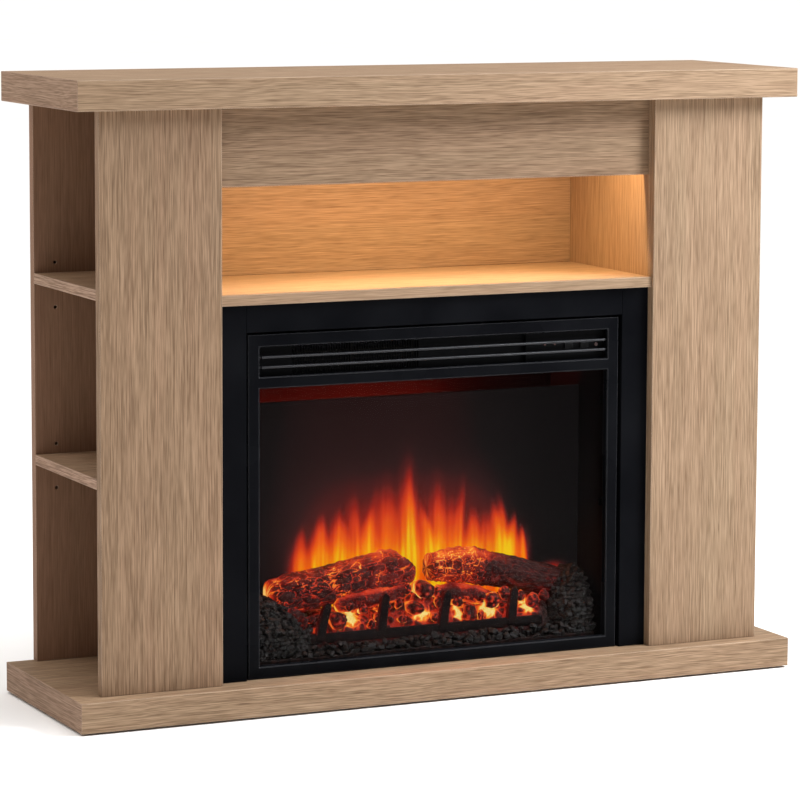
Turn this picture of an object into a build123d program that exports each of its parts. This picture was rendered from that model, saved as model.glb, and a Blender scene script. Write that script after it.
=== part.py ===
from build123d import *
import os

os.makedirs("parts", exist_ok=True)

# An electric fireplace: a wooden mantel with open side shelves and a lit niche,
# and a black steel electric fire standing in it.
# Frame: +Z up, +X to the right seen from the front, the front faces -Y.
# Origin: on the floor, under the middle of the mantel. Millimetres.

# ---------------------------------------------------------------- driving dimensions
WIDTH = 1120.0
DEPTH = 310.0
HEIGHT = 893.0
GLIDE_HEIGHT = 3.0
SLAB = 42.0              # thickness of the top and base slabs
BOARD = 15.0             # thickness of every board
EDGE = 0.6               # eased edge of the boards

SIDE_OVERHANG = 41.0     # slab past the outer faces of the uprights
FRONT_OVERHANG = 30.0    # slab past the front of the pilasters
PILASTER_WIDTH = 180.0
NICHE_FLOOR = 591.5      # upper face of the niche shelf
NICHE_LIP = 5.0          # pilaster front to niche shelf front
NICHE_BACK_RECESS = 5.0  # rear plane to the niche back panel
HEADER_RECESS = 18.0     # pilaster front to header front
HEADER_BOTTOM = 740.0
TRIM_RECESS = 15.0       # pilaster front to the black surround
TRIM_WIDTH = 42.5
TRIM_TOP_HEIGHT = 39.5

SHELF_LEVELS = {"lower": 331.0, "upper": 576.5 + BOARD}
SHELF_PLAY = 0.5
PIN_R = 2.5
PIN_REACH = 8.0
PIN_DROP = 0.2           # air between a pin and the shelf on it
HOLE_PITCH = 32.0
HOLE_DEPTH = 10.0
OUTER_PINS = 32.0        # pin column in from the outer edge
INNER_PINS = 37.0        # pin column out from the inner wall

DOWEL_R = 4.0
DOWEL_LENGTH = 30.0
SCREW_R = 2.0
SCREW_LENGTH = 12.0
SCREW_HEAD_R = 3.8
SCREW_HEAD = 2.4
FIT = 0.05               # radial play of a plain fit
PLAY = 0.2               # air between an inner sheet and the casing
CUT = 5.0                # how far a hole's tool runs past a sheet

# the electric insert
BEZEL_HALF_W = 293.0
BEZEL_FRONT = -106.0
BEZEL_DEPTH = 12.0
BEZEL_BOTTOM = 45.5
BEZEL_TOP = 534.0
BEZEL_SKIN = 2.0
WINDOW_HALF_W = 275.0
GLASS_WINDOW = (62.7, 457.0)
GRILLE_WINDOW = (473.5, 515.8)
LOUVRE_LEVELS = (486.5, 500.7)
LOUVRE_HEIGHT = 3.6
SHEET = 1.2
CASE_HALF_W = 283.0
CASE_BOTTOM = 53.0
CASE_TOP = 526.0
CASE_REAR = 86.0
CASE_FLANGE = 9.0
GLASS_THICK = 4.0
DECK_LEVEL = 464.0

SHAFT_R = 2.5
RUNNING = 0.05           # radial play of a turning shaft
FAN_AXIS = (15.0, 495.0)       # Y, Z of the blower's axis
FAN_R = 20.0
FAN_ENDS = (-214.0, -24.0)
FAN_BLADES = 22
SPINDLE_AXIS = (45.0, 105.0)   # Y, Z of the flicker spindle's axis
SPINDLE_ENDS = (-287.0, 262.0)
SPINDLE_TABS = 26
BUSH_R = 6.0
BUSH_LENGTH = 10.0
BUSH_FLANGE = 2.0

SCREEN_FRONT = -6.0
SCREEN_THICK = 3.0
SCREEN_TOP = 423.0

# ---------------------------------------------------------------- derived places
HALF_W = WIDTH / 2
HALF_D = DEPTH / 2
BASE_TOP = GLIDE_HEIGHT + SLAB
TOP_UNDER = HEIGHT - SLAB
PILASTER_OUT = HALF_W - SIDE_OVERHANG
PILASTER_IN = PILASTER_OUT - PILASTER_WIDTH
PILASTER_FRONT = FRONT_OVERHANG - HALF_D
PILASTER_BACK = PILASTER_FRONT + BOARD
WALL_OUT = PILASTER_IN + BOARD
BACK_FACE = HALF_D - BOARD
NICHE_UNDER = NICHE_FLOOR - BOARD
TRIM_FRONT = PILASTER_FRONT + TRIM_RECESS
TRIM_BACK = TRIM_FRONT + BOARD
TRIM_IN = PILASTER_IN - TRIM_WIDTH
BEZEL_BACK = BEZEL_FRONT + BEZEL_DEPTH
CASE_INNER_HALF_W = CASE_HALF_W - SHEET
CASE_FLOOR = CASE_BOTTOM + SHEET
CASE_CEILING = CASE_TOP - SHEET
GLASS_BACK = BEZEL_BACK + GLASS_THICK
DECK_TOP = DECK_LEVEL + SHEET
SIDES = {"left": -1, "right": 1}
PIN_COLUMNS = (PILASTER_OUT - OUTER_PINS, WALL_OUT + INNER_PINS)


# ---------------------------------------------------------------- small helpers
def block(low, high, mode=Mode.ADD):
    """A box between two opposite corners, in the current part."""
    size = [abs(b - a) for a, b in zip(low, high)]
    centre = tuple((a + b) / 2 for a, b in zip(low, high))
    with Locations(centre):
        Box(*size, mode=mode)


def rod(start, end, radius, mode=Mode.ADD):
    """A round bar from one point to another, in the current part."""
    axis = Vector(*end) - Vector(*start)
    with Locations(Plane(origin=start, z_dir=axis)):
        Cylinder(radius, axis.length, align=(Align.CENTER, Align.CENTER, Align.MIN), mode=mode)


def screw(tip, direction):
    """A pan head screw: its head's underside at tip, its shank along direction."""
    inward = Vector(*direction)
    seat = Vector(*tip)
    rod(seat, seat + inward * SCREW_LENGTH, SCREW_R)
    rod(seat, seat - inward * SCREW_HEAD, SCREW_HEAD_R)


def save(piece, name):
    """Labels a finished piece and writes it."""
    piece.part.label = name
    export_step(piece.part, f"parts/{name}.step")


# ---------------------------------------------------------------- fastener places
def dowel_places(side):
    """(x, y) of the dowels in the ends of one side's uprights."""
    across = (PILASTER_IN + 35, PILASTER_OUT - 35)
    pilaster = [(side * x, (PILASTER_FRONT + PILASTER_BACK) / 2) for x in across]
    back = [(side * x, (BACK_FACE + HALF_D) / 2) for x in (WALL_OUT + 40, PILASTER_OUT - 40)]
    wall = [(side * (PILASTER_IN + WALL_OUT) / 2, y) for y in (-60.0, 90.0)]
    return {"pilaster": pilaster, "back": back, "wall": wall}


ALL_DOWELS = [p for s in SIDES.values() for group in dowel_places(s).values() for p in group]
DOWEL_ENDS = {"base": BASE_TOP, "top": TOP_UNDER}

BRACKET_LEVELS = (150.0, 430.0)            # insert brackets up each side
BRACKET_SCREW_X = 316.0
TIP_BRACKET = (500.0, 540.0)               # wall bracket, lower and upper edge
TIP_HOLE_X = 318.0
TIP_HOLE_R = 2.75
TIP_SCREW_Y = 132.0
COVER_SCREWS = [(x, z) for x in (-276.0, 0.0, 276.0) for z in (60.0, 519.0)]
GLAND_AT = (230.0, 85.0)                   # X, Z of the cord gland
GLAND_BORE_R = 4.0
GLAND_NECK_R = 8.0


# ---------------------------------------------------------------- mantel: slabs
def slab_shell(bottom):
    """A folded board slab, open below: a top skin and four mitred skirts."""
    with BuildPart() as shell:
        block((-HALF_W, -HALF_D, bottom), (HALF_W, HALF_D, bottom + SLAB))
        chamfer(shell.edges(), EDGE)
        inner = (HALF_W - BOARD, HALF_D - BOARD)
        block((-inner[0], -inner[1], bottom - 1),
              (inner[0], inner[1], bottom + SLAB - BOARD), mode=Mode.SUBTRACT)
    return shell


def drill_dowels(bottom, depth):
    """Blind dowel holes going up from a level, in the current part."""
    for x, y in ALL_DOWELS:
        rod((x, y, bottom), (x, y, bottom + depth), DOWEL_R + FIT, mode=Mode.SUBTRACT)


top_shell = slab_shell(TOP_UNDER)
with BuildPart() as top_panel:
    add(top_shell.part)
    drill_dowels(TOP_UNDER, BOARD)
save(top_panel, "top_panel")

base_shell = slab_shell(GLIDE_HEIGHT)
with BuildPart() as base_panel:
    add(base_shell.part)
    drill_dowels(BASE_TOP - BOARD, BOARD)
save(base_panel, "base_panel")

with BuildPart() as slab_undersides:
    for bottom in (GLIDE_HEIGHT, TOP_UNDER):
        block((BOARD - HALF_W, BOARD - HALF_D, bottom), (HALF_W - BOARD, HALF_D - BOARD, bottom + BOARD))
    drill_dowels(TOP_UNDER, BOARD)
save(slab_undersides, "slab_undersides")

RIB_HALF_W = 30.0
RIB_HALF_LENGTH = 125.0
RIB_PLACES = (-420.0, -140.0, 140.0, 420.0)
with BuildPart() as slab_core_ribs:
    for bottom in (GLIDE_HEIGHT + BOARD, TOP_UNDER + BOARD):
        for x in RIB_PLACES:
            block((x - RIB_HALF_W, -RIB_HALF_LENGTH, bottom),
                  (x + RIB_HALF_W, RIB_HALF_LENGTH, bottom + SLAB - 2 * BOARD))
save(slab_core_ribs, "slab_core_ribs")


# ---------------------------------------------------------------- mantel: uprights
def pin_hole_points(side):
    """(x, z) of every shelf pin hole of one side."""
    points = []
    for level in SHELF_LEVELS.values():
        pin = level - PIN_R - PIN_DROP
        for x in PIN_COLUMNS:
            points += [(side * x, pin + step * HOLE_PITCH) for step in (-1, 0, 1)]
    return points


def drill_ends(places):
    """Dowel holes in the lower and upper end of an upright, in the current part."""
    half = DOWEL_LENGTH / 2
    for x, y in places:
        rod((x, y, BASE_TOP), (x, y, BASE_TOP + half), DOWEL_R + FIT, mode=Mode.SUBTRACT)
        rod((x, y, TOP_UNDER - half), (x, y, TOP_UNDER), DOWEL_R + FIT, mode=Mode.SUBTRACT)


for name, side in SIDES.items():
    dowels = dowel_places(side)

    with BuildPart() as pilaster:
        block((side * PILASTER_IN, PILASTER_FRONT, BASE_TOP), (side * PILASTER_OUT, PILASTER_BACK, TOP_UNDER))
        chamfer(pilaster.edges(), EDGE)
        drill_ends(dowels["pilaster"])
        with BuildSketch(Plane.XZ.offset(-PILASTER_BACK)):
            with Locations(*pin_hole_points(side)):
                Circle(PIN_R + FIT)
        extrude(amount=HOLE_DEPTH, mode=Mode.SUBTRACT)
    save(pilaster, f"{name}_pilaster")

    with BuildPart() as inner_wall:
        block((side * PILASTER_IN, PILASTER_BACK, BASE_TOP), (side * WALL_OUT, HALF_D, TOP_UNDER))
        chamfer(inner_wall.edges(), EDGE)
        drill_ends(dowels["wall"])
        tip_level = sum(TIP_BRACKET) / 2
        rod((side * PILASTER_IN, TIP_SCREW_Y, tip_level),
            (side * (PILASTER_IN + SCREW_LENGTH), TIP_SCREW_Y, tip_level), SCREW_R, mode=Mode.SUBTRACT)
    save(inner_wall, f"{name}_inner_wall")

    with BuildPart() as back_panel:
        block((side * WALL_OUT, BACK_FACE, BASE_TOP), (side * PILASTER_OUT, HALF_D, TOP_UNDER))
        chamfer(back_panel.edges(), EDGE)
        drill_ends(dowels["back"])
        with BuildSketch(Plane.XZ.offset(-BACK_FACE)):
            with Locations(*pin_hole_points(side)):
                Circle(PIN_R + FIT)
        extrude(amount=-HOLE_DEPTH, mode=Mode.SUBTRACT)
    save(back_panel, f"{name}_back_panel")

    for level_name, level in SHELF_LEVELS.items():
        with BuildPart() as shelf:
            block((side * (WALL_OUT + SHELF_PLAY), PILASTER_BACK + SHELF_PLAY, level),
                  (side * PILASTER_OUT, BACK_FACE - SHELF_PLAY, level + BOARD))
            chamfer(shelf.edges(), EDGE)
        save(shelf, f"{name}_{level_name}_shelf")

with BuildPart() as shelf_pins:
    for side in SIDES.values():
        for level in SHELF_LEVELS.values():
            for x in PIN_COLUMNS:
                pin_x, pin_z = side * x, level - PIN_R - PIN_DROP
                for face, inward in ((PILASTER_BACK, -1), (BACK_FACE, 1)):
                    rod((pin_x, face + inward * (HOLE_DEPTH - 1), pin_z),
                        (pin_x, face - inward * PIN_REACH, pin_z), PIN_R)
save(shelf_pins, "shelf_pins")

with BuildPart() as assembly_dowels:
    for x, y in ALL_DOWELS:
        for level in DOWEL_ENDS.values():
            rod((x, y, level - DOWEL_LENGTH / 2 + 0.5), (x, y, level + DOWEL_LENGTH / 2 - 0.5), DOWEL_R)
save(assembly_dowels, "assembly_dowels")

# ---------------------------------------------------------------- mantel: niche and header
with BuildPart() as niche_shelf:
    block((-PILASTER_IN, PILASTER_FRONT + NICHE_LIP, NICHE_UNDER),
          (PILASTER_IN, HALF_D - NICHE_BACK_RECESS, NICHE_FLOOR))
    chamfer(niche_shelf.edges(), EDGE)
save(niche_shelf, "niche_shelf")

with BuildPart() as niche_back_panel:
    block((-PILASTER_IN, HALF_D - NICHE_BACK_RECESS - BOARD, NICHE_FLOOR),
          (PILASTER_IN, HALF_D - NICHE_BACK_RECESS, TOP_UNDER))
    chamfer(niche_back_panel.edges(), EDGE)
save(niche_back_panel, "niche_back_panel")

HEADER_FRONT = PILASTER_FRONT + HEADER_RECESS
with BuildPart() as header_panel:
    block((-PILASTER_IN, HEADER_FRONT, HEADER_BOTTOM), (PILASTER_IN, HEADER_FRONT + BOARD, TOP_UNDER))
    chamfer(header_panel.edges(), EDGE)
save(header_panel, "header_panel")

# ---------------------------------------------------------------- mantel: black surround
for name, side in SIDES.items():
    with BuildPart() as trim:
        block((side * TRIM_IN, TRIM_FRONT, BASE_TOP), (side * PILASTER_IN, TRIM_BACK, NICHE_UNDER))
        chamfer(trim.edges(), EDGE)
        for level in BRACKET_LEVELS:
            rod((side * BRACKET_SCREW_X, TRIM_BACK - SCREW_LENGTH, level),
                (side * BRACKET_SCREW_X, TRIM_BACK, level), SCREW_R, mode=Mode.SUBTRACT)
    save(trim, f"{name}_trim")

with BuildPart() as top_trim:
    block((-TRIM_IN, TRIM_FRONT, NICHE_UNDER - TRIM_TOP_HEIGHT), (TRIM_IN, TRIM_BACK, NICHE_UNDER))
    chamfer(top_trim.edges(), EDGE)
save(top_trim, "top_trim")

# ---------------------------------------------------------------- mantel: feet and wall brackets
GLIDE_R = 11.0
GLIDE_X = HALF_W - 40.0
GLIDE_Y = HALF_D - 35.0
with BuildPart() as floor_glides:
    for x in (-GLIDE_X, 0, GLIDE_X):
        for y in (-GLIDE_Y, GLIDE_Y):
            rod((x, y, 0), (x, y, GLIDE_HEIGHT), GLIDE_R)
    chamfer(floor_glides.faces().group_by(Axis.Z)[0].edges(), 0.8)
save(floor_glides, "floor_glides")

BRACKET_STEEL = 2.0
BRACKET_LEG = 40.0
with BuildPart() as wall_brackets:
    for side in SIDES.values():
        block((side * (PILASTER_IN - BRACKET_STEEL), HALF_D - BRACKET_LEG, TIP_BRACKET[0]),
              (side * PILASTER_IN, HALF_D, TIP_BRACKET[1]))
        block((side * (PILASTER_IN - BRACKET_LEG), HALF_D - BRACKET_STEEL, TIP_BRACKET[0]),
              (side * PILASTER_IN, HALF_D, TIP_BRACKET[1]))
        rod((side * TIP_HOLE_X, HALF_D - 5, tip_level), (side * TIP_HOLE_X, HALF_D + 1, tip_level),
            TIP_HOLE_R, mode=Mode.SUBTRACT)
        rod((side * (PILASTER_IN - 5), TIP_SCREW_Y, tip_level),
            (side * (PILASTER_IN + 1), TIP_SCREW_Y, tip_level), SCREW_R + FIT, mode=Mode.SUBTRACT)
save(wall_brackets, "wall_brackets")

# ---------------------------------------------------------------- niche light
LED_HALF_LENGTH = 330.0
LED_Y = -77.0
LED_HALF_W = 8.5
LED_HEIGHT = 7.0
LED_WALL = 1.2
with BuildPart() as led_profile:
    block((-LED_HALF_LENGTH, LED_Y - LED_HALF_W, TOP_UNDER - LED_HEIGHT),
          (LED_HALF_LENGTH, LED_Y + LED_HALF_W, TOP_UNDER))
    block((-LED_HALF_LENGTH, LED_Y - LED_HALF_W + LED_WALL, TOP_UNDER - LED_HEIGHT),
          (LED_HALF_LENGTH, LED_Y + LED_HALF_W - LED_WALL, TOP_UNDER - LED_WALL), mode=Mode.SUBTRACT)
save(led_profile, "led_profile")

LED_CHIPS = 20
LED_CHIP_HALF = 2.5
LED_BOARD_HALF_W = 5.0
LED_BOARD_HALF_LENGTH = LED_HALF_LENGTH - 3.0
LED_CHIP_PITCH = 2 * (LED_HALF_LENGTH - 10) / LED_CHIPS
LED_BOARD_UNDER = TOP_UNDER - LED_WALL - 1.2
with BuildPart() as led_strip:
    block((-LED_BOARD_HALF_LENGTH, LED_Y - LED_BOARD_HALF_W, LED_BOARD_UNDER),
          (LED_BOARD_HALF_LENGTH, LED_Y + LED_BOARD_HALF_W, TOP_UNDER - LED_WALL))
    for i in range(LED_CHIPS):
        x = (i - (LED_CHIPS - 1) / 2) * LED_CHIP_PITCH
        block((x - LED_CHIP_HALF, LED_Y - LED_CHIP_HALF, LED_BOARD_UNDER - 1),
              (x + LED_CHIP_HALF, LED_Y + LED_CHIP_HALF, LED_BOARD_UNDER))
save(led_strip, "led_strip")

with BuildPart() as led_diffuser:
    block((-LED_HALF_LENGTH, LED_Y - LED_HALF_W + LED_WALL, TOP_UNDER - LED_HEIGHT),
          (LED_HALF_LENGTH, LED_Y + LED_HALF_W - LED_WALL, TOP_UNDER - LED_HEIGHT + LED_WALL))
save(led_diffuser, "led_diffuser")

# ---------------------------------------------------------------- insert: bezel, louvres, glass
with BuildPart() as insert_bezel:
    block((-BEZEL_HALF_W, BEZEL_FRONT, BEZEL_BOTTOM), (BEZEL_HALF_W, BEZEL_BACK, BEZEL_TOP))
    for window in (GLASS_WINDOW, GRILLE_WINDOW):
        block((-WINDOW_HALF_W, BEZEL_FRONT - 1, window[0]), (WINDOW_HALF_W, BEZEL_BACK + 1, window[1]),
              mode=Mode.SUBTRACT)
    front_edges = insert_bezel.faces().sort_by(Axis.Y)[0].edges()
    chamfer(front_edges, 1.2)
    with BuildSketch(Plane.XZ.offset(-BEZEL_BACK)):
        with Locations((0, (BEZEL_BOTTOM + BEZEL_TOP) / 2)):
            Rectangle(2 * (BEZEL_HALF_W - BEZEL_SKIN), BEZEL_TOP - BEZEL_BOTTOM - 2 * BEZEL_SKIN)
        for window in (GLASS_WINDOW, GRILLE_WINDOW):
            with Locations((0, sum(window) / 2)):
                Rectangle(2 * (WINDOW_HALF_W + BEZEL_SKIN), window[1] - window[0] + 2 * BEZEL_SKIN,
                          mode=Mode.SUBTRACT)
    extrude(amount=BEZEL_DEPTH - BEZEL_SKIN, mode=Mode.SUBTRACT)
save(insert_bezel, "insert_bezel")

LOUVRE_HALF_LENGTH = 271.0
with BuildPart() as louvre_bars:
    for level in LOUVRE_LEVELS:
        half = LOUVRE_HEIGHT / 2
        with BuildSketch(Plane.YZ.offset(-LOUVRE_HALF_LENGTH)):
            with Locations((BEZEL_FRONT + 4.2, level)):
                RectangleRounded(6.4, LOUVRE_HEIGHT, half - 0.1)
        extrude(amount=2 * LOUVRE_HALF_LENGTH)
        for side in SIDES.values():
            block((side * (LOUVRE_HALF_LENGTH - 5), BEZEL_FRONT + 5, level - 1.2),
                  (side * WINDOW_HALF_W, BEZEL_BACK - 0.5, level + 1.2))
save(louvre_bars, "louvre_bars")

GLASS_HALF_W = CASE_INNER_HALF_W - 0.8
with BuildPart() as front_glass:
    block((-GLASS_HALF_W, BEZEL_BACK, GLASS_WINDOW[0] - 5), (GLASS_HALF_W, GLASS_BACK, GLASS_WINDOW[1] + 4.5))
save(front_glass, "front_glass")

CLIP_LEVELS = (110.0, 260.0, 410.0)
CLIP_HALF_H = 6.0
CLIP_TOE = 11.0                    # reach over the glass
CLIP_HEEL = 13.0                   # reach along the casing's side
with BuildPart() as glass_clips:
    for side in SIDES.values():
        for level in CLIP_LEVELS:
            block((side * (CASE_INNER_HALF_W - CLIP_TOE), GLASS_BACK, level - CLIP_HALF_H),
                  (side * CASE_INNER_HALF_W, GLASS_BACK + SHEET, level + CLIP_HALF_H))
            block((side * (CASE_INNER_HALF_W - SHEET), GLASS_BACK, level - CLIP_HALF_H),
                  (side * CASE_INNER_HALF_W, GLASS_BACK + CLIP_HEEL, level + CLIP_HALF_H))
save(glass_clips, "glass_clips")

# ---------------------------------------------------------------- insert: steel casing
REAR_LIP = 12.0
with BuildPart() as insert_casing:
    block((-CASE_HALF_W, BEZEL_BACK, CASE_BOTTOM), (CASE_HALF_W, CASE_REAR, CASE_TOP))
    block((-CASE_HALF_W - CASE_FLANGE, BEZEL_BACK, CASE_BOTTOM - 7),
          (CASE_HALF_W + CASE_FLANGE, BEZEL_BACK + SHEET, CASE_TOP + 7))
    block((-CASE_INNER_HALF_W, BEZEL_BACK - 1, CASE_FLOOR),
          (CASE_INNER_HALF_W, CASE_REAR - SHEET, CASE_CEILING), mode=Mode.SUBTRACT)
    block((-CASE_INNER_HALF_W + REAR_LIP, CASE_REAR - 5, CASE_FLOOR + REAR_LIP),
          (CASE_INNER_HALF_W - REAR_LIP, CASE_REAR + 1, CASE_CEILING - REAR_LIP), mode=Mode.SUBTRACT)
    for x, z in COVER_SCREWS:
        rod((x, CASE_REAR - 5, z), (x, CASE_REAR + 1, z), SCREW_R + FIT, mode=Mode.SUBTRACT)
    rod((-CASE_HALF_W - CUT, *SPINDLE_AXIS), (-CASE_HALF_W + CUT, *SPINDLE_AXIS), BUSH_R + FIT,
        mode=Mode.SUBTRACT)
save(insert_casing, "insert_casing")

VENT_COLUMNS = 26
VENT_PITCH = 9.0
VENT_ROW_GAP = 24.0
VENT_SLOT = (18.0, 4.0)
UPPER_VENT = (-119.0, 495.0)       # X, Z of the middle of the blower's vent
LOWER_VENT = (0.0, 95.0)
with BuildPart() as insert_rear_cover:
    block((-CASE_HALF_W, CASE_REAR, CASE_BOTTOM), (CASE_HALF_W, CASE_REAR + SHEET, CASE_TOP))
    with BuildSketch(Plane.XZ.offset(-CASE_REAR - SHEET)):
        for vent, rows in ((UPPER_VENT, 2), (LOWER_VENT, 1)):
            with Locations(vent):
                with GridLocations(VENT_PITCH, VENT_ROW_GAP, VENT_COLUMNS, rows):
                    SlotOverall(*VENT_SLOT, rotation=90)
        with Locations(GLAND_AT):
            Circle(GLAND_NECK_R + FIT)
        with Locations(*COVER_SCREWS):
            Circle(SCREW_R + FIT)
    extrude(amount=-CUT, both=True, mode=Mode.SUBTRACT)
save(insert_rear_cover, "insert_rear_cover")

FOOT_R = 9.0
with BuildPart() as insert_feet:
    for x in (-250.0, 250.0):
        for y in (-70.0, 65.0):
            rod((x, y, BASE_TOP), (x, y, CASE_BOTTOM), FOOT_R)
save(insert_feet, "insert_feet")

BRACKET_SHEET = 1.5
BRACKET_HALF_H = 15.0
BRACKET_REACH = -62.0              # Y where the bracket ends on the casing
BRACKET_TOE_X = PILASTER_IN - 11.0
JOGGLE = BEZEL_HALF_W + 0.6        # X of the fold past the bezel
with BuildPart() as insert_brackets:
    for side in SIDES.values():
        for level in BRACKET_LEVELS:
            low, high = level - BRACKET_HALF_H, level + BRACKET_HALF_H
            behind = BEZEL_BACK + SHEET
            foot = TRIM_BACK
            block((side * CASE_HALF_W, behind, low),
                  (side * (CASE_HALF_W + BRACKET_SHEET), BRACKET_REACH, high))
            block((side * CASE_HALF_W, behind, low),
                  (side * (JOGGLE + BRACKET_SHEET), behind + BRACKET_SHEET, high))
            block((side * JOGGLE, foot, low),
                  (side * (JOGGLE + BRACKET_SHEET), behind + BRACKET_SHEET, high))
            block((side * JOGGLE, foot, low), (side * BRACKET_TOE_X, foot + BRACKET_SHEET, high))
            rod((side * BRACKET_SCREW_X, foot - 1, level), (side * BRACKET_SCREW_X, foot + 3, level),
                SCREW_R + FIT, mode=Mode.SUBTRACT)
save(insert_brackets, "insert_brackets")

with BuildPart() as assembly_screws:
    for side in SIDES.values():
        screw((side * (PILASTER_IN - BRACKET_STEEL), TIP_SCREW_Y, tip_level), (side, 0, 0))
        for level in BRACKET_LEVELS:
            screw((side * BRACKET_SCREW_X, TRIM_BACK + BRACKET_SHEET, level), (0, -1, 0))
    for x, z in COVER_SCREWS:
        screw((x, CASE_REAR + SHEET, z), (0, -1, 0))
save(assembly_screws, "assembly_screws")

GLAND_NECK = 12.0
GLAND_FLANGE_R = 11.0
GLAND_FLANGE = 5.0
with BuildPart() as cord_gland:
    gland_x, gland_z = GLAND_AT
    outside = CASE_REAR + SHEET
    inner, outer = outside - GLAND_NECK, outside + GLAND_FLANGE
    rod((gland_x, inner, gland_z), (gland_x, outside, gland_z), GLAND_NECK_R)
    rod((gland_x, outside, gland_z), (gland_x, outer, gland_z), GLAND_FLANGE_R)
    fillet(cord_gland.edges().group_by(Axis.Y)[-1], 2)
    rod((gland_x, inner - 1, gland_z), (gland_x, outer + 1, gland_z), GLAND_BORE_R, mode=Mode.SUBTRACT)
save(cord_gland, "cord_gland")

# ---------------------------------------------------------------- insert: heater compartment
with BuildPart() as heater_deck:
    block((-CASE_INNER_HALF_W + PLAY, GLASS_BACK + 2, DECK_LEVEL),
          (CASE_INNER_HALF_W - PLAY, CASE_REAR - SHEET - 0.5, DECK_TOP))
save(heater_deck, "heater_deck")

GUARD_FRONT = -86.0
OUTLET = (-218.0, -20.0)           # X range of the warm air outlet
OUTLET_LEVEL = 495.0
GUARD_SLOTS = 50
GUARD_PITCH = 3.96
GUARD_SLOT = (2.2, 44.0)
CONTROL_X = (148.0, 276.0)
CONTROL_Z = (470.0, 519.0)
CONTROL_MIDDLE = 493.5
CONTROL_OPENING = (112.0, 42.0)
with BuildPart() as outlet_guard:
    block((-CASE_INNER_HALF_W + PLAY, GUARD_FRONT, DECK_TOP),
          (CASE_INNER_HALF_W - PLAY, GUARD_FRONT + SHEET, CASE_CEILING - 0.3))
    with BuildSketch(Plane.XZ.offset(-GUARD_FRONT)):
        with Locations((sum(OUTLET) / 2, OUTLET_LEVEL)):
            with GridLocations(GUARD_PITCH, 1, GUARD_SLOTS, 1):
                Rectangle(*GUARD_SLOT)
        with Locations((sum(CONTROL_X) / 2, CONTROL_MIDDLE)):
            Rectangle(*CONTROL_OPENING)
    extrude(amount=-CUT, both=True, mode=Mode.SUBTRACT)
save(outlet_guard, "outlet_guard")

DUCT_X = (OUTLET[0] - 5, OUTLET[1] + 5)
DUCT_Z = (467.0, 523.0)
DUCT_BACK = -24.0
DUCT_WALL = 0.8
with BuildPart() as heater_duct:
    block((DUCT_X[0], GUARD_FRONT + SHEET, DUCT_Z[0]), (DUCT_X[1], DUCT_BACK, DUCT_Z[1]))
    block((DUCT_X[0] + DUCT_WALL, GUARD_FRONT, DUCT_Z[0] + DUCT_WALL),
          (DUCT_X[1] - DUCT_WALL, DUCT_BACK + 1, DUCT_Z[1] - DUCT_WALL), mode=Mode.SUBTRACT)
save(heater_duct, "heater_duct")

FORMER_Y = (-72.0, -38.0)          # mica formers that carry the coils
FORMER_Z = (471.0, 519.0)
FORMER_HALF = 0.8
COIL_ROWS = (-65.0, -55.0, -45.0)
COIL_LEVELS = (478.0, 489.0, 501.0, 512.0)
COIL_R = 1.5
with BuildPart() as heater_element:
    for x in (OUTLET[0] + 3, sum(OUTLET) / 2, OUTLET[1] - 3):
        block((x - FORMER_HALF, FORMER_Y[0], FORMER_Z[0]), (x + FORMER_HALF, FORMER_Y[1], FORMER_Z[1]))
    for y in COIL_ROWS:
        for z in COIL_LEVELS:
            rod((OUTLET[0] + 2, y, z), (OUTLET[1] - 2, y, z), COIL_R)
save(heater_element, "heater_element")

CUTOUT_Y = -52.0
CUTOUT_R = 8.0
CUTOUT_DEEP = 5.0
TAB_LENGTH = 8.0
with BuildPart() as thermal_cutout:
    face = DUCT_X[1]
    rod((face, CUTOUT_Y, OUTLET_LEVEL), (face + CUTOUT_DEEP, CUTOUT_Y, OUTLET_LEVEL), CUTOUT_R)
    for z in (OUTLET_LEVEL - 5, OUTLET_LEVEL + 5):
        block((face + CUTOUT_DEEP, CUTOUT_Y - 3, z - 0.4),
              (face + CUTOUT_DEEP + TAB_LENGTH, CUTOUT_Y + 3, z + 0.4))
save(thermal_cutout, "thermal_cutout")

# ---------------------------------------------------------------- insert: cross flow blower
fan_y, fan_z = FAN_AXIS
HOUSING_ENDS = (FAN_ENDS[0] - 4, FAN_ENDS[1] + 4)
HOUSING_R = FAN_R + 3.0
HOUSING_BACK = fan_y + 27.0
END_PLATE = 1.5
NOZZLE_Z = (517.2, 518.6)          # upper lip of the blower's nozzle
SHAFT_HOLE_R = 5.0
with BuildPart() as blower_housing:
    for x in (HOUSING_ENDS[0], HOUSING_ENDS[1] - END_PLATE):
        block((x, DUCT_BACK, DUCT_Z[0]), (x + END_PLATE, HOUSING_BACK, DUCT_Z[1]))
    with BuildSketch(Plane.YZ.offset(HOUSING_ENDS[0])):
        with BuildLine():
            CenterArc((fan_y, fan_z), HOUSING_R, -90, 110)
            Line((fan_y, fan_z - HOUSING_R), (DUCT_BACK, fan_z - HOUSING_R))
            offset(amount=0.6, kind=Kind.ARC)
        make_face()
    extrude(amount=HOUSING_ENDS[1] - HOUSING_ENDS[0])
    block((HOUSING_ENDS[0], DUCT_BACK, NOZZLE_Z[0]), (HOUSING_ENDS[1], fan_y - 9, NOZZLE_Z[1]))
    rod((HOUSING_ENDS[0] - 1, fan_y, fan_z), (HOUSING_ENDS[0] + 3, fan_y, fan_z), BUSH_R + FIT,
        mode=Mode.SUBTRACT)
    rod((HOUSING_ENDS[1] - 3, fan_y, fan_z), (HOUSING_ENDS[1] + 1, fan_y, fan_z), SHAFT_HOLE_R,
        mode=Mode.SUBTRACT)
save(blower_housing, "blower_housing")

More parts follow.
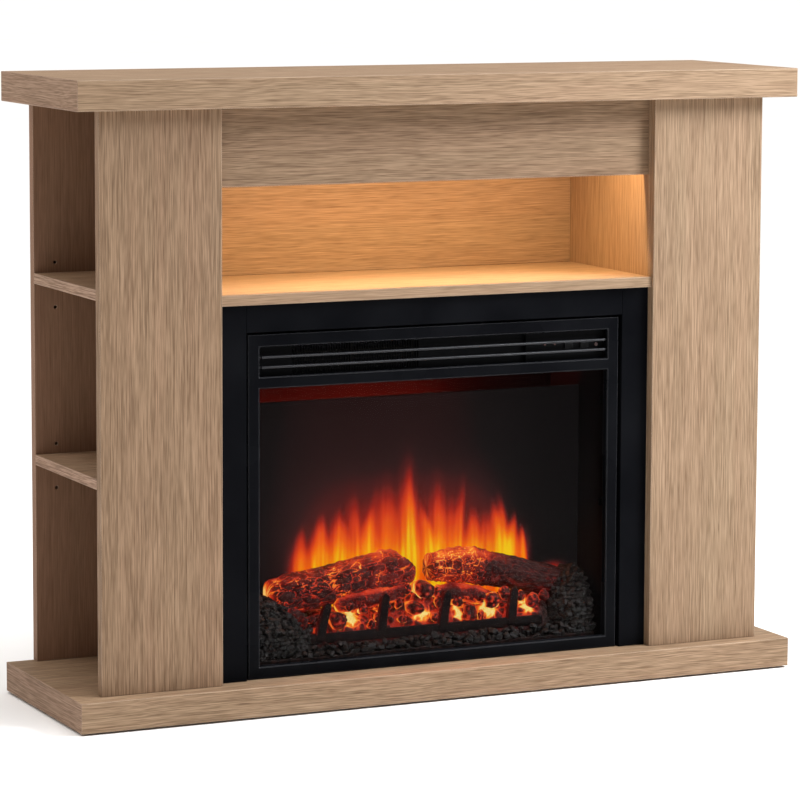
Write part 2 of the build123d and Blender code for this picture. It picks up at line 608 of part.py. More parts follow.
SHAFT_IN_MOTOR = 14.0
STUB = 12.0                        # free end of the shaft, in its bush
FAN_DISCS = 4
FAN_DISC = 1.5
BLADE_CHORD = 6.0
BLADE_THICK = 0.9
BLADE_TURN = 35.0
with BuildPart() as blower_wheel:
    length = FAN_ENDS[1] - FAN_ENDS[0]
    for i in range(FAN_DISCS):
        x = FAN_ENDS[0] + i * (length - FAN_DISC) / (FAN_DISCS - 1)
        rod((x, fan_y, fan_z), (x + FAN_DISC, fan_y, fan_z), FAN_R)
    axle = Axis((0, fan_y, fan_z), (1, 0, 0))
    seat = Pos(sum(FAN_ENDS) / 2, fan_y, fan_z + FAN_R - 3.5) * Rot(X=BLADE_TURN)
    blade = seat * Box(length, BLADE_THICK, BLADE_CHORD, mode=Mode.PRIVATE)
    for i in range(FAN_BLADES):
        add(blade.rotate(axle, i * 360 / FAN_BLADES))
    for x in (FAN_ENDS[0] + FAN_DISC + (length - FAN_DISC) / 3, FAN_ENDS[0] + 2 * (length - FAN_DISC) / 3):
        rod((x - FAN_DISC, fan_y, fan_z), (x, fan_y, fan_z), FAN_R - 8, mode=Mode.SUBTRACT)
    rod((FAN_ENDS[0] - STUB, fan_y, fan_z), (FAN_ENDS[0] + 1, fan_y, fan_z), SHAFT_R)
    rod((FAN_ENDS[1] - 1, fan_y, fan_z), (HOUSING_ENDS[1] + SHAFT_IN_MOTOR, fan_y, fan_z), SHAFT_R)
save(blower_wheel, "blower_wheel")

MOTOR_R = 18.0
MOTOR_LENGTH = 30.0
MOTOR_BOSS_R = 6.0
MOTOR_LUG = 26.0                   # half length of the mounting strap
with BuildPart() as blower_motor:
    face = HOUSING_ENDS[1]
    end = face + MOTOR_LENGTH
    rod((face, fan_y, fan_z), (end, fan_y, fan_z), MOTOR_R)
    fillet(blower_motor.edges().group_by(Axis.X)[-1], 3)
    rod((end, fan_y, fan_z), (end + 4, fan_y, fan_z), MOTOR_BOSS_R)
    block((face, fan_y - MOTOR_LUG, fan_z - 7), (face + 2, fan_y + MOTOR_LUG, fan_z + 7))
    rod((face - 1, fan_y, fan_z), (face + SHAFT_IN_MOTOR + 1, fan_y, fan_z), SHAFT_R + RUNNING,
        mode=Mode.SUBTRACT)
save(blower_motor, "blower_motor")

# ---------------------------------------------------------------- insert: controls
PANEL_FRONT = -92.0
PANEL_BACK = -90.5
ROCKER_LEVEL = 493.3
ROCKERS = {"power": 217.5, "heat": 243.0}
ROCKER_HALF_W = 6.4
ROCKER_HALF_H = 4.1
ROCKER_FRONT = -94.6               # proud ends of a rocker
ROCKER_WAIST = -94.0               # its middle
PIVOT_Y = -88.5
PIVOT_R = 1.0
PIVOT_REACH = 2.6                  # pin past each side of a rocker
LAMP_PLACES = ((179.0, 496.6), (195.0, 496.6))
LAMP_R = 1.6
LENS_AT = (263.0, 493.3)
LENS_R = 3.0

with BuildPart() as control_panel:
    block((CONTROL_X[0], PANEL_FRONT, CONTROL_Z[0]), (CONTROL_X[1], PANEL_BACK, CONTROL_Z[1]))
    chamfer(control_panel.faces().sort_by(Axis.Y)[0].edges(), 0.4)
    with BuildSketch(Plane.XZ.offset(-PANEL_FRONT)):
        with Locations(*LAMP_PLACES):
            Circle(LAMP_R + FIT)
        with Locations(LENS_AT):
            Circle(LENS_R + FIT)
        with Locations(*[(x, ROCKER_LEVEL) for x in ROCKERS.values()]):
            Rectangle(2 * ROCKER_HALF_W + 2, 2 * ROCKER_HALF_H + 0.8)
    extrude(amount=-CUT, both=True, mode=Mode.SUBTRACT)
    for x in ROCKERS.values():
        for up in (-1, 1):
            block((x - 4, PANEL_BACK, ROCKER_LEVEL + up * (ROCKER_HALF_H + 0.4)),
                  (x + 4, PIVOT_Y + 2, ROCKER_LEVEL + up * (ROCKER_HALF_H + 3.4)))
        rod((x, PIVOT_Y, ROCKER_LEVEL - 9), (x, PIVOT_Y, ROCKER_LEVEL + 9), PIVOT_R + RUNNING,
            mode=Mode.SUBTRACT)
    for x in (CONTROL_X[0] + 4, CONTROL_X[1] - 4):
        for z in (CONTROL_Z[0] + 4, CONTROL_Z[1] - 4):
            rod((x, PANEL_BACK, z), (x, GUARD_FRONT, z), 2.5)
save(control_panel, "control_panel")

ROCKER_BACK = PIVOT_Y + 0.8
for name, x in ROCKERS.items():
    left, right = x - ROCKER_HALF_W, x + ROCKER_HALF_W
    with BuildPart() as rocker:
        with BuildSketch(Plane.XY.offset(ROCKER_LEVEL - ROCKER_HALF_H)):
            with BuildLine():
                Polyline((left, ROCKER_BACK), (left, ROCKER_FRONT), (x, ROCKER_WAIST),
                         (right, ROCKER_FRONT), (right, ROCKER_BACK), close=True)
            make_face()
        extrude(amount=2 * ROCKER_HALF_H)
        half_pin = ROCKER_HALF_H + PIVOT_REACH
        rod((x, PIVOT_Y, ROCKER_LEVEL - half_pin), (x, PIVOT_Y, ROCKER_LEVEL + half_pin), PIVOT_R)
    save(rocker, f"{name}_rocker")

with BuildPart() as panel_lenses:
    for x, z in LAMP_PLACES:
        rod((x, PANEL_FRONT - 0.8, z), (x, PANEL_BACK + 3, z), LAMP_R)
    rod((LENS_AT[0], PANEL_FRONT - 1, LENS_AT[1]), (LENS_AT[0], PANEL_BACK + 3, LENS_AT[1]), LENS_R)
    fillet(panel_lenses.edges().group_by(Axis.Y)[0], 0.6)
save(panel_lenses, "panel_lenses")

BOARD_FRONT = -82.0
BOARD_BACK = BOARD_FRONT + 1.6
BOARD_X = (156.0, 268.0)
BOARD_Z = (470.0, 520.0)
RELAY_LEVEL = 494.0
# each relay: x, width, height, depth
RELAYS = ((170, 18, 14, 16), (192, 14, 14, 12), (214, 20, 16, 18), (240, 12, 20, 10))
CAPACITORS = (182.0, 203.0, 256.0)
CAPACITOR_LEVEL = 479.0
CAPACITOR_R = 4.0
with BuildPart() as control_board:
    block((BOARD_X[0], BOARD_FRONT, BOARD_Z[0]), (BOARD_X[1], BOARD_BACK, BOARD_Z[1]))
    for x, width, height, depth in RELAYS:
        block((x - width / 2, BOARD_BACK, RELAY_LEVEL - height / 2),
              (x + width / 2, BOARD_BACK + depth, RELAY_LEVEL + height / 2))
    for x in CAPACITORS:
        rod((x, BOARD_BACK, CAPACITOR_LEVEL), (x, BOARD_FRONT + 14, CAPACITOR_LEVEL), CAPACITOR_R)
save(control_board, "control_board")

# ---------------------------------------------------------------- insert: flame effect
with BuildPart() as flame_screen:
    block((-CASE_INNER_HALF_W + PLAY, SCREEN_FRONT, CASE_FLOOR),
          (CASE_INNER_HALF_W - PLAY, SCREEN_FRONT + SCREEN_THICK, SCREEN_TOP))
save(flame_screen, "flame_screen")

spindle_y, spindle_z = SPINDLE_AXIS
FIRST_TAB = -248.0
TAB_PITCH = 18.5
TAB_STEP = 47                      # degrees from one tab to the next
TAB_SIZE = (11.0, 36.0, 0.8)
with BuildPart() as flicker_spindle:
    rod((SPINDLE_ENDS[0], spindle_y, spindle_z), (SPINDLE_ENDS[1], spindle_y, spindle_z), SHAFT_R)
    for i in range(SPINDLE_TABS):
        x = FIRST_TAB + i * TAB_PITCH
        with Locations(Location((x, spindle_y, spindle_z), (i * TAB_STEP % 180, 0, 0))):
            Box(*TAB_SIZE)
save(flicker_spindle, "flicker_spindle")

GEAR_MOTOR_R = 24.0
GEAR_MOTOR_NOSE_R = 7.0
with BuildPart() as spindle_motor:
    face = 250.0
    rod((face + 6, spindle_y, spindle_z), (CASE_INNER_HALF_W, spindle_y, spindle_z), GEAR_MOTOR_R)
    rod((face, spindle_y, spindle_z), (face + 6, spindle_y, spindle_z), GEAR_MOTOR_NOSE_R)
    rod((face - 1, spindle_y, spindle_z), (SPINDLE_ENDS[1] + 1, spindle_y, spindle_z), SHAFT_R + RUNNING,
        mode=Mode.SUBTRACT)
save(spindle_motor, "spindle_motor")

BUSH_PLACES = ((HOUSING_ENDS[0] + 1.5, fan_y, fan_z), (-CASE_INNER_HALF_W, spindle_y, spindle_z))
with BuildPart() as shaft_bushes:
    for x, y, z in BUSH_PLACES:
        rod((x, y, z), (x - BUSH_LENGTH + BUSH_FLANGE, y, z), BUSH_R)
        rod((x, y, z), (x + BUSH_FLANGE, y, z), BUSH_R + 3)
        rod((x - BUSH_LENGTH, y, z), (x + BUSH_FLANGE + 1, y, z), SHAFT_R + RUNNING, mode=Mode.SUBTRACT)
save(shaft_bushes, "shaft_bushes")

LED_BOARD_LEVEL = 60.0
LED_BOARD_TOP = LED_BOARD_LEVEL + 1.6
LAMPS_PER_BOARD = 12
LAMP_PITCH = 40.0
LAMP_HALF = 3.0
with BuildPart() as led_boards:
    for y in (-40.0, 18.0):
        block((-240, y - 7, LED_BOARD_LEVEL), (240, y + 7, LED_BOARD_TOP))
        for i in range(LAMPS_PER_BOARD):
            x = (i - (LAMPS_PER_BOARD - 1) / 2) * LAMP_PITCH
            block((x - LAMP_HALF, y - LAMP_HALF, LED_BOARD_TOP),
                  (x + LAMP_HALF, y + LAMP_HALF, LED_BOARD_TOP + 1.6))
        for x in (-220.0, 0.0, 220.0):
            rod((x, y, CASE_FLOOR), (x, y, LED_BOARD_LEVEL), 3)
save(led_boards, "led_boards")

# ---------------------------------------------------------------- insert: fuel bed
BED_HALF_LENGTH = 268.0
BED_FRONT = -88.0
BED_BACK = -9.0
BED_WALL = 2.5
TERRACE = 66.0
SLOPE_FOOT = (-70.0, TERRACE)
SLOPE_TOP = (-60.0, 86.0)
CREST = (-20.0, 100.0)

# each log: start, end and radius
LOGS = {
    "rear_logs": (((-226, -34, 146), (-8, -33, 172), 25.5), ((16, -32, 170), (250, -33, 132), 22)),
    "front_logs": (((-136, -51, 119), (-26, -50, 130), 14.5), ((28, -50, 134), (150, -51, 117), 12.5)),
}
PEG_R = 3.0
PEG_FOOT = 84.0


def log_pegs(start, end):
    """Two points on a log's axis, over its supporting pegs."""
    a, b = Vector(*start), Vector(*end)
    return [a + (b - a) * t for t in (0.25, 0.75)]


with BuildPart() as ember_bed:
    with BuildSketch(Plane.YZ.offset(-BED_HALF_LENGTH)):
        with BuildLine():
            Polyline((BED_FRONT, CASE_FLOOR), (BED_FRONT, TERRACE), SLOPE_FOOT, SLOPE_TOP, CREST,
                     (BED_BACK, CREST[1]), (BED_BACK, CASE_FLOOR), close=True)
        make_face()
    extrude(amount=2 * BED_HALF_LENGTH)
    with BuildSketch(Plane.YZ.offset(-BED_HALF_LENGTH + BED_WALL)):
        with BuildLine():
            Polyline((BED_FRONT + BED_WALL, CASE_FLOOR), (BED_FRONT + BED_WALL, TERRACE - BED_WALL),
                     (SLOPE_FOOT[0] + 1.5, TERRACE - BED_WALL), (SLOPE_TOP[0] + 1.5, SLOPE_TOP[1] - BED_WALL),
                     (CREST[0], CREST[1] - BED_WALL), (BED_BACK - BED_WALL, CREST[1] - BED_WALL),
                     (BED_BACK - BED_WALL, CASE_FLOOR), close=True)
        make_face()
    extrude(amount=2 * (BED_HALF_LENGTH - BED_WALL), mode=Mode.SUBTRACT)
    for logs in LOGS.values():
        for start, end, radius in logs:
            for peg in log_pegs(start, end):
                rod((peg.X, peg.Y, PEG_FOOT), (peg.X, peg.Y, peg.Z - 4), PEG_R)
save(ember_bed, "ember_bed")

for name, logs in LOGS.items():
    with BuildPart() as log_group:
        for start, end, radius in logs:
            rod(start, end, radius)
            for peg in log_pegs(start, end):
                rod((peg.X, peg.Y, peg.Z - 2 * radius), (peg.X, peg.Y, peg.Z - 3), PEG_R + FIT,
                    mode=Mode.SUBTRACT)
        rims = log_group.edges().filter_by(GeomType.CIRCLE).filter_by(lambda e: e.radius > 2 * PEG_R)
        chamfer(rims, 3)
    save(log_group, name)

GRATE_Y = (-70.0, -66.5)
GRATE_HALF_LENGTH = 190.0
GRATE_Z = (80.0, 95.0)
PRONGS = ((-168.0, -150.0), (-69.0, -52.0), (15.0, 36.0), (137.0, 150.0))   # X at foot and at tip
PRONG_FOOT = 90.0
PRONG_TOP = 132.0
PRONG_HALF_W = (9.0, 7.0)          # at foot and at tip
with BuildPart() as fire_grate:
    block((-GRATE_HALF_LENGTH, GRATE_Y[0], GRATE_Z[0]), (GRATE_HALF_LENGTH, GRATE_Y[1], GRATE_Z[1]))
    for foot, tip in PRONGS:
        with BuildSketch(Plane.XZ.offset(-GRATE_Y[1])):
            with BuildLine():
                Polyline((foot - PRONG_HALF_W[0], PRONG_FOOT), (foot + PRONG_HALF_W[0], PRONG_FOOT),
                         (tip + PRONG_HALF_W[1], PRONG_TOP), (tip - PRONG_HALF_W[1], PRONG_TOP), close=True)
            make_face()
        extrude(amount=GRATE_Y[1] - GRATE_Y[0])
    for x in (-185.0, 0.0, 185.0):
        block((x - 4, GRATE_Y[0], TERRACE + 8), (x + 4, GRATE_Y[1], GRATE_Z[0] + 2))
save(fire_grate, "fire_grate")

COALS = 21
COAL_PITCH = 25.0
COAL_Y = -79.5
with BuildPart() as coal_lumps:
    for i in range(COALS):
        x = (i - (COALS - 1) / 2) * COAL_PITCH
        size = 11 + (i * 5) % 4
        with Locations(Location((x, COAL_Y, TERRACE + size / 2 - 1.5), (0, 0, (i * 37) % 60 - 30))):
            Box(size + 3, size - 1, size - 3)
    chamfer(coal_lumps.edges(), 1.5)
save(coal_lumps, "coal_lumps")
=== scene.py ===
import math

import bmesh
import bpy
import numpy as np
from mathutils import Matrix, Vector, noise


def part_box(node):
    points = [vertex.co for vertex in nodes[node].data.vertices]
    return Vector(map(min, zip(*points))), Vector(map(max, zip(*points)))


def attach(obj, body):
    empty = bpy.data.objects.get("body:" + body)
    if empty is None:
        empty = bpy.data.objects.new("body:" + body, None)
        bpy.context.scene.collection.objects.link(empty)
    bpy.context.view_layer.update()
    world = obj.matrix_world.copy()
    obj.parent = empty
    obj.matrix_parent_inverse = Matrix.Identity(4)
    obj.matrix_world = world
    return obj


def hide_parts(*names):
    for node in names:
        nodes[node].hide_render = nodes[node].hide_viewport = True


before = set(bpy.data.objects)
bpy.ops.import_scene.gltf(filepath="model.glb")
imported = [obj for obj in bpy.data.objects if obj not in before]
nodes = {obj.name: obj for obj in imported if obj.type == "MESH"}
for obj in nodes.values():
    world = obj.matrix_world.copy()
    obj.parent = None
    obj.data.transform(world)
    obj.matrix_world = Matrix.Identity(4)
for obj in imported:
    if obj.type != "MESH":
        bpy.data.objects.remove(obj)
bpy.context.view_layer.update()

scene = bpy.context.scene
MM = 0.001
noise.seed_set(5)     # without this, noise_vector would draw its offsets from the clock


# ---------------------------------------------------------------- camera, floor and lights
EYE = (-2.2409, -4.7292, 1.1197)
YAW, PITCH, ROLL = -25.224, 83.075, 0.213     # degrees, and a pitch of 90 is level
LONG_LENS = 163.56


def make_camera():
    """Eye level above the mantel's top, well to its left, a long lens."""
    data = bpy.data.cameras.new("camera")
    data.sensor_width = 36
    data.lens = LONG_LENS
    data.shift_x, data.shift_y = 0.003, -0.06
    data.clip_start, data.clip_end = 0.1, 200
    cam = bpy.data.objects.new("camera", data)
    scene.collection.objects.link(cam)
    yaw, pitch, roll = math.radians(YAW), math.radians(PITCH), math.radians(ROLL)
    turn = Matrix.Rotation(yaw, 4, "Z") @ Matrix.Rotation(pitch, 4, "X") @ Matrix.Rotation(roll, 4, "Z")
    cam.matrix_world = Matrix.Translation(EYE) @ turn
    scene.camera = cam


def area_light(name, place, target, size, power, colour=(1, 1, 1)):
    """A soft rectangular lamp aimed at a point."""
    data = bpy.data.lights.new(name, "AREA")
    data.shape = "RECTANGLE"
    data.size, data.size_y = size
    data.energy = power
    data.color = colour
    lamp = bpy.data.objects.new(name, data)
    scene.collection.objects.link(lamp)
    lamp.visible_camera = False
    lamp.location = place
    lamp.rotation_euler = (Vector(target) - Vector(place)).to_track_quat("-Z", "Y").to_euler()
    return lamp


def make_lights():
    """An even white room, a key from the front right, a fill from the left and a broad sun from above."""
    world = bpy.data.worlds.new("room")
    world.use_nodes = True
    background = world.node_tree.nodes["Background"].inputs
    background["Color"].default_value = (1.0, 0.98, 0.96, 1)
    background["Strength"].default_value = 0.36
    scene.world = world
    area_light("key", (1.4, -1.2, 1.80), (0.3, 0, 0.45), (0.7, 0.8), 59, (0.95, 1.0, 1.05))
    area_light("left_fill", (-2.8, 0.4, 2.3), (-0.4, 0, 0.5), (1.6, 2.0), 29, (1.0, 0.92, 0.86))
    sun = bpy.data.lights.new("sun", "SUN")
    sun.energy = 2.7
    sun.angle = math.radians(50)
    high_sun = bpy.data.objects.new("sun", sun)
    high_sun.rotation_euler = (math.radians(9), math.radians(7), 0)
    scene.collection.objects.link(high_sun)


FLOOR_REACH = 45.0


def make_floor():
    """A wide pale paper floor."""
    corners = [(x * FLOOR_REACH, y * FLOOR_REACH, 0) for x, y in ((-1, -1), (1, -1), (1, 1), (-1, 1))]
    mesh = bpy.data.meshes.new("floor")
    mesh.from_pydata(corners, [], [(0, 1, 2, 3)])
    floor = bpy.data.objects.new("floor", mesh)
    scene.collection.objects.link(floor)
    paint = Material("floor_paper")
    grain = paint.noise(paint.place(), 3.0, detail=3)
    paint.principled(paint.ramp(grain, [(0.3, (0.88, 0.87, 0.86)), (0.7, (0.92, 0.91, 0.90))]), 0.9)
    mesh.materials.append(paint.material)


# ---------------------------------------------------------------- material kit
def srgb(r, g, b):
    """A linear colour from display values of 0 to 255."""
    return tuple(((c / 255 + 0.055) / 1.055) ** 2.4 if c > 10 else c / 3294.6 for c in (r, g, b))


def smooth(value, low, high):
    """0 at low, 1 at high and an even curve between, for numbers and arrays, and either way up."""
    t = np.clip((value - low) / (high - low), 0, 1)
    return t * t * (3 - 2 * t)


class Material:
    """A small builder for node materials. Every method returns an output socket."""

    def __init__(self, name):
        self.material = bpy.data.materials.new(name)
        self.material.use_nodes = True
        self.tree = self.material.node_tree
        self.tree.nodes.clear()
        self.output = self.tree.nodes.new("ShaderNodeOutputMaterial")

    def node(self, kind, **values):
        made = self.tree.nodes.new("ShaderNode" + kind)
        for key, value in values.items():
            setattr(made, key, value)
        return made

    def feed(self, socket, value):
        """Links a socket, or sets a plain value on it."""
        if isinstance(value, bpy.types.NodeSocket):
            self.tree.links.new(value, socket)
        elif hasattr(value, "__len__") and len(value) == 3 and len(socket.default_value) == 4:
            socket.default_value = (*value, 1)
        else:
            socket.default_value = value

    def place(self):
        """Object coordinates, which are metres in the row's frame."""
        return self.node("TexCoord").outputs["Object"]

    def facing(self):
        return self.node("TexCoord").outputs["Normal"]

    def attribute(self, name):
        return self.node("Attribute", attribute_name=name).outputs["Fac"]

    def stretch(self, vector, scale, offset=(0, 0, 0)):
        mapping = self.node("Mapping")
        self.feed(mapping.inputs["Vector"], vector)
        mapping.inputs["Scale"].default_value = scale
        mapping.inputs["Location"].default_value = offset
        return mapping.outputs["Vector"]

    def noise(self, vector, scale, detail=2.0, roughness=0.5):
        tex = self.node("TexNoise")
        self.feed(tex.inputs["Vector"], vector)
        tex.inputs["Scale"].default_value = scale
        tex.inputs["Detail"].default_value = detail
        tex.inputs["Roughness"].default_value = roughness
        return tex.outputs["Fac"]

    def voronoi(self, vector, scale, feature="F1", output="Distance"):
        tex = self.node("TexVoronoi", feature=feature)
        self.feed(tex.inputs["Vector"], vector)
        tex.inputs["Scale"].default_value = scale
        return tex.outputs[output]

    def math(self, operation, a, b=0.0):
        made = self.node("Math", operation=operation)
        self.feed(made.inputs[0], a)
        self.feed(made.inputs[1], b)
        return made.outputs[0]

    def split(self, vector):
        made = self.node("SeparateXYZ")
        self.feed(made.inputs[0], vector)
        return made.outputs

    def join(self, x, y, z):
        made = self.node("CombineXYZ")
        for socket, value in zip(made.inputs, (x, y, z)):
            self.feed(socket, value)
        return made.outputs[0]

    def remap(self, value, low, high, to_low=0.0, to_high=1.0):
        made = self.node("MapRange", interpolation_type="SMOOTHSTEP")
        for socket, v in zip(made.inputs, (value, low, high, to_low, to_high)):
            self.feed(socket, v)
        return made.outputs[0]

    def ramp(self, value, stops):
        made = self.node("ValToRGB")
        elements = made.color_ramp.elements
        while len(elements) < len(stops):
            elements.new(0.5)
        for element, (at, colour) in zip(elements, stops):
            element.position = at
            element.color = (*colour, 1)
        self.feed(made.inputs[0], value)
        return made.outputs["Color"]

    def mix(self, factor, a, b, blend="MIX"):
        made = self.node("Mix", data_type="RGBA", blend_type=blend)
        self.feed(made.inputs[0], factor)
        self.feed(made.inputs[6], a)
        self.feed(made.inputs[7], b)
        return made.outputs[2]

    def bump(self, height, distance, strength=1.0, normal=None):
        made = self.node("Bump")
        made.inputs["Strength"].default_value = strength
        made.inputs["Distance"].default_value = distance
        self.feed(made.inputs["Height"], height)
        if normal is not None:
            self.feed(made.inputs["Normal"], normal)
        return made.outputs["Normal"]

    def edge(self, radius):
        """(how near a sharp edge, from 0 to 1, and the normal of that edge rounded over)."""
        rounded = self.node("Bevel", samples=4)
        rounded.inputs["Radius"].default_value = radius
        lean = self.node("VectorMath", operation="DOT_PRODUCT")
        self.feed(lean.inputs[0], rounded.outputs["Normal"])
        self.feed(lean.inputs[1], self.node("NewGeometry").outputs["Normal"])
        return self.remap(lean.outputs["Value"], 0.995, 0.86), rounded.outputs["Normal"]

    def principled(self, colour, roughness, metallic=0.0, normal=None, specular=0.5, glow=None,
                   glow_strength=0.0):
        shader = self.node("BsdfPrincipled")
        self.feed(shader.inputs["Base Color"], colour)
        self.feed(shader.inputs["Roughness"], roughness)
        shader.inputs["Metallic"].default_value = metallic
        shader.inputs["Specular IOR Level"].default_value = specular
        if normal is not None:
            self.feed(shader.inputs["Normal"], normal)
        if glow is not None:
            self.feed(shader.inputs["Emission Color"], glow)
            self.feed(shader.inputs["Emission Strength"], glow_strength)
        self.tree.links.new(shader.outputs[0], self.output.inputs["Surface"])


def dress(material, *names):
    """Gives CAD nodes a material in place of their packed one."""
    for name in names:
        slots = nodes[name].data.materials
        slots.clear()
        slots.append(material)


# ---------------------------------------------------------------- wood
OAK_STOPS = [(0.0, (0.140, 0.084, 0.046)), (0.35, (0.228, 0.147, 0.086)), (0.65, (0.292, 0.194, 0.118)),
             (1.0, (0.372, 0.254, 0.160))]
PORE_BROWN = (0.105, 0.060, 0.034)
# painted highlight: the paler colour painted along the veneer's sharp edges
OAK_EDGE_HIGHLIGHT = (0.52, 0.40, 0.30)
# how often each layer of the veneer changes in a metre: along the grain, and twice across it
SWAY = (3.0, 9, 9)
LINE = (12, 700, 700)
DASH = (30, 900, 900)
BAND = (5.0, 110, 110)
FIGURE = (1.5, 18, 18)
HUE = (1.6, 26, 26)
PORES = (30, 700, 700)
SWAY_REACH = 0.030


def oak(name, grain, seed, ends=None, wander=1.0, contrast=1.0, tint=(1, 1, 1)):
    """Pale oak veneer. grain is the axis along the grain, and ends that axis on the left and right ends.
    wander is how far the figure strays, contrast how strongly the grain shows, and tint multiplies the
    leaf's colour: painted shade below 1 and painted light above 1."""
    m = Material(name)
    x, y, z = m.split(m.place())
    along, across, third = {"X": (x, z, y), "Z": (z, x, y), "Y": (y, z, x)}[grain]
    if ends:
        sideways = m.math("GREATER_THAN", m.math("ABSOLUTE", m.split(m.facing())[0]), 0.5)
        along = m.mix(sideways, m.join(along, along, along), m.join(*[{"X": x, "Y": y, "Z": z}[ends]] * 3))
        along = m.split(along)[0]
        third = m.math("ADD", m.math("MULTIPLY", third, m.math("SUBTRACT", 1.0, sideways)),
                       m.math("MULTIPLY", x, sideways))
    base = m.join(along, across, third)
    # the figure wavers: points move across the grain by a slow noise
    sway = m.noise(m.stretch(base, SWAY, (seed, seed, 0)), 1.0, detail=2)
    drift = m.math("MULTIPLY", m.math("SUBTRACT", sway, 0.5), SWAY_REACH * wander)
    lane = m.join(along, m.math("ADD", across, drift), m.math("ADD", third, drift))
    line = m.noise(m.stretch(lane, LINE, (seed, 0, seed)), 1.0, detail=0)
    dash = m.noise(m.stretch(lane, DASH, (0, 1, seed)), 1.0, detail=1, roughness=0.6)
    band = m.noise(m.stretch(lane, BAND, (0, seed, 3)), 1.0, detail=2, roughness=0.5)
    figure = m.noise(m.stretch(lane, FIGURE, (seed, 5, 0)), 1.0, detail=2)
    tone = 0.5
    for layer, weight in ((line, 0.80), (dash, 1.10), (band, 0.16), (figure, 0.10 + 0.10 * wander)):
        tone = m.math("ADD", tone, m.math("MULTIPLY", m.math("SUBTRACT", layer, 0.5), weight * contrast))
    tone = m.remap(tone, 0.10, 0.90)
    # tint scales every colour of the ramp: it paints shade on some boards and light on others
    colour = m.ramp(tone, [(at, tuple(c * t for c, t in zip(shade, tint))) for at, shade in OAK_STOPS])
    # slow drift between a pinkish and a yellowish brown
    hue = m.noise(m.stretch(base, HUE, (7, seed, 2)), 1.0, detail=2)
    pinker = m.mix(1.0, colour, (1.05, 0.96, 0.97), "MULTIPLY")
    colour = m.mix(m.remap(hue, 0.35, 0.65, 0.0, 0.35), colour, pinker)
    # open pores: short dark dashes along the grain, thickest in the darker bands
    dashes = m.noise(m.stretch(lane, PORES, (seed, 2, 0)), 1.0, detail=1)
    pores = m.math("MULTIPLY", m.remap(dashes, 0.58, 0.72), m.remap(band, 0.62, 0.36))
    colour = m.mix(m.math("MULTIPLY", pores, 0.60 * contrast), colour, PORE_BROWN)
    # painted highlight: the veneer's sharp edges are painted paler, standing in for light caught on their
    # rounding
    edge_highlight, rounded = m.edge(0.0016)
    colour = m.mix(m.math("MULTIPLY", edge_highlight, 0.65), colour, OAK_EDGE_HIGHLIGHT)
    # painted shade: the left and right end faces are painted a little darker and pinker
    if ends:
        colour = m.mix(sideways, colour, m.mix(1.0, colour, (0.95, 0.91, 0.96), "MULTIPLY"))
    height = m.math("SUBTRACT", m.math("MULTIPLY", tone, 0.4), pores)
    m.principled(colour, m.remap(tone, 0.2, 0.8, 0.68, 0.56), specular=0.24,
                 normal=m.bump(height, 0.00014, 0.5, rounded))
    return m.material


def raw_board(name):
    """Unfaced fibreboard: fine felted flecks."""
    m = Material(name)
    place = m.place()
    flecks = m.noise(m.stretch(place, (500, 500, 900)), 1.0, detail=4, roughness=0.7)
    clouds = m.noise(place, 14, detail=2)
    tone = m.math("ADD", m.math("MULTIPLY", flecks, 0.7), m.math("MULTIPLY", clouds, 0.3))
    colour = m.ramp(tone, [(0.3, (0.30, 0.20, 0.12)), (0.5, (0.42, 0.30, 0.19)), (0.7, (0.53, 0.40, 0.27))])
    m.principled(colour, 0.85, normal=m.bump(flecks, 0.0004, 0.6), specular=0.2)
    return m.material


def dress_wood():
    """One oak per board, so that no two boards carry the same figure."""
    def board(node, grain, seed, **looks):
        dress(oak(f"oak_{node}", grain, seed, **looks), node)

    # painted shade: the left pilaster's tint darkens it, as the light is weaker on the left
    board("left_pilaster", "Z", 3.0, wander=0.12, contrast=0.80, tint=(0.87, 0.83, 0.81))
    board("right_pilaster", "Z", 9.0, wander=0.12, contrast=0.66)
    # painted shade: the back panels' tint darkens and reddens them, as they stand in the bays' shade;
    # painted light: the inner walls' tint makes them a little paler and warmer
    for i, side in enumerate(("left", "right")):
        board(f"{side}_back_panel", "Z", 4.7 + 1.7 * i, wander=0.12, contrast=0.36, tint=(0.84, 0.72, 0.72))
        board(f"{side}_inner_wall", "Z", 10.7 + 1.7 * i, wander=0.12, contrast=0.45, tint=(1.05, 1.02, 0.98))
    board("top_panel", "X", 21.0, ends="Y", wander=0.55, contrast=0.66)
    board("base_panel", "X", 34.0, ends="Y", wander=0.45, contrast=0.78)
    # painted shade: the header's tint darkens it, standing in for the shadow of the overhanging top slab
    board("header_panel", "X", 45.6, wander=0.4, contrast=0.80, tint=(0.83, 0.80, 0.78))
    for i, name in enumerate(("niche_shelf", "niche_back_panel")):
        board(name, "X", 41.0 + 2.3 * i, wander=0.4, contrast=0.5)
    # painted light: the shelves' tint makes them paler, standing in for light that the lamps give them too
    # little of
    for i, side in enumerate(("left", "right")):
        for j, level in enumerate(("upper", "lower")):
            seed = 55.0 + 2 * i + 4.1 * j
            board(f"{side}_{level}_shelf", "X", seed, ends="Y", wander=0.5, tint=(1.13, 1.13, 1.16))
    dress(raw_board("raw_board"), "slab_undersides", "slab_core_ribs", "assembly_dowels")


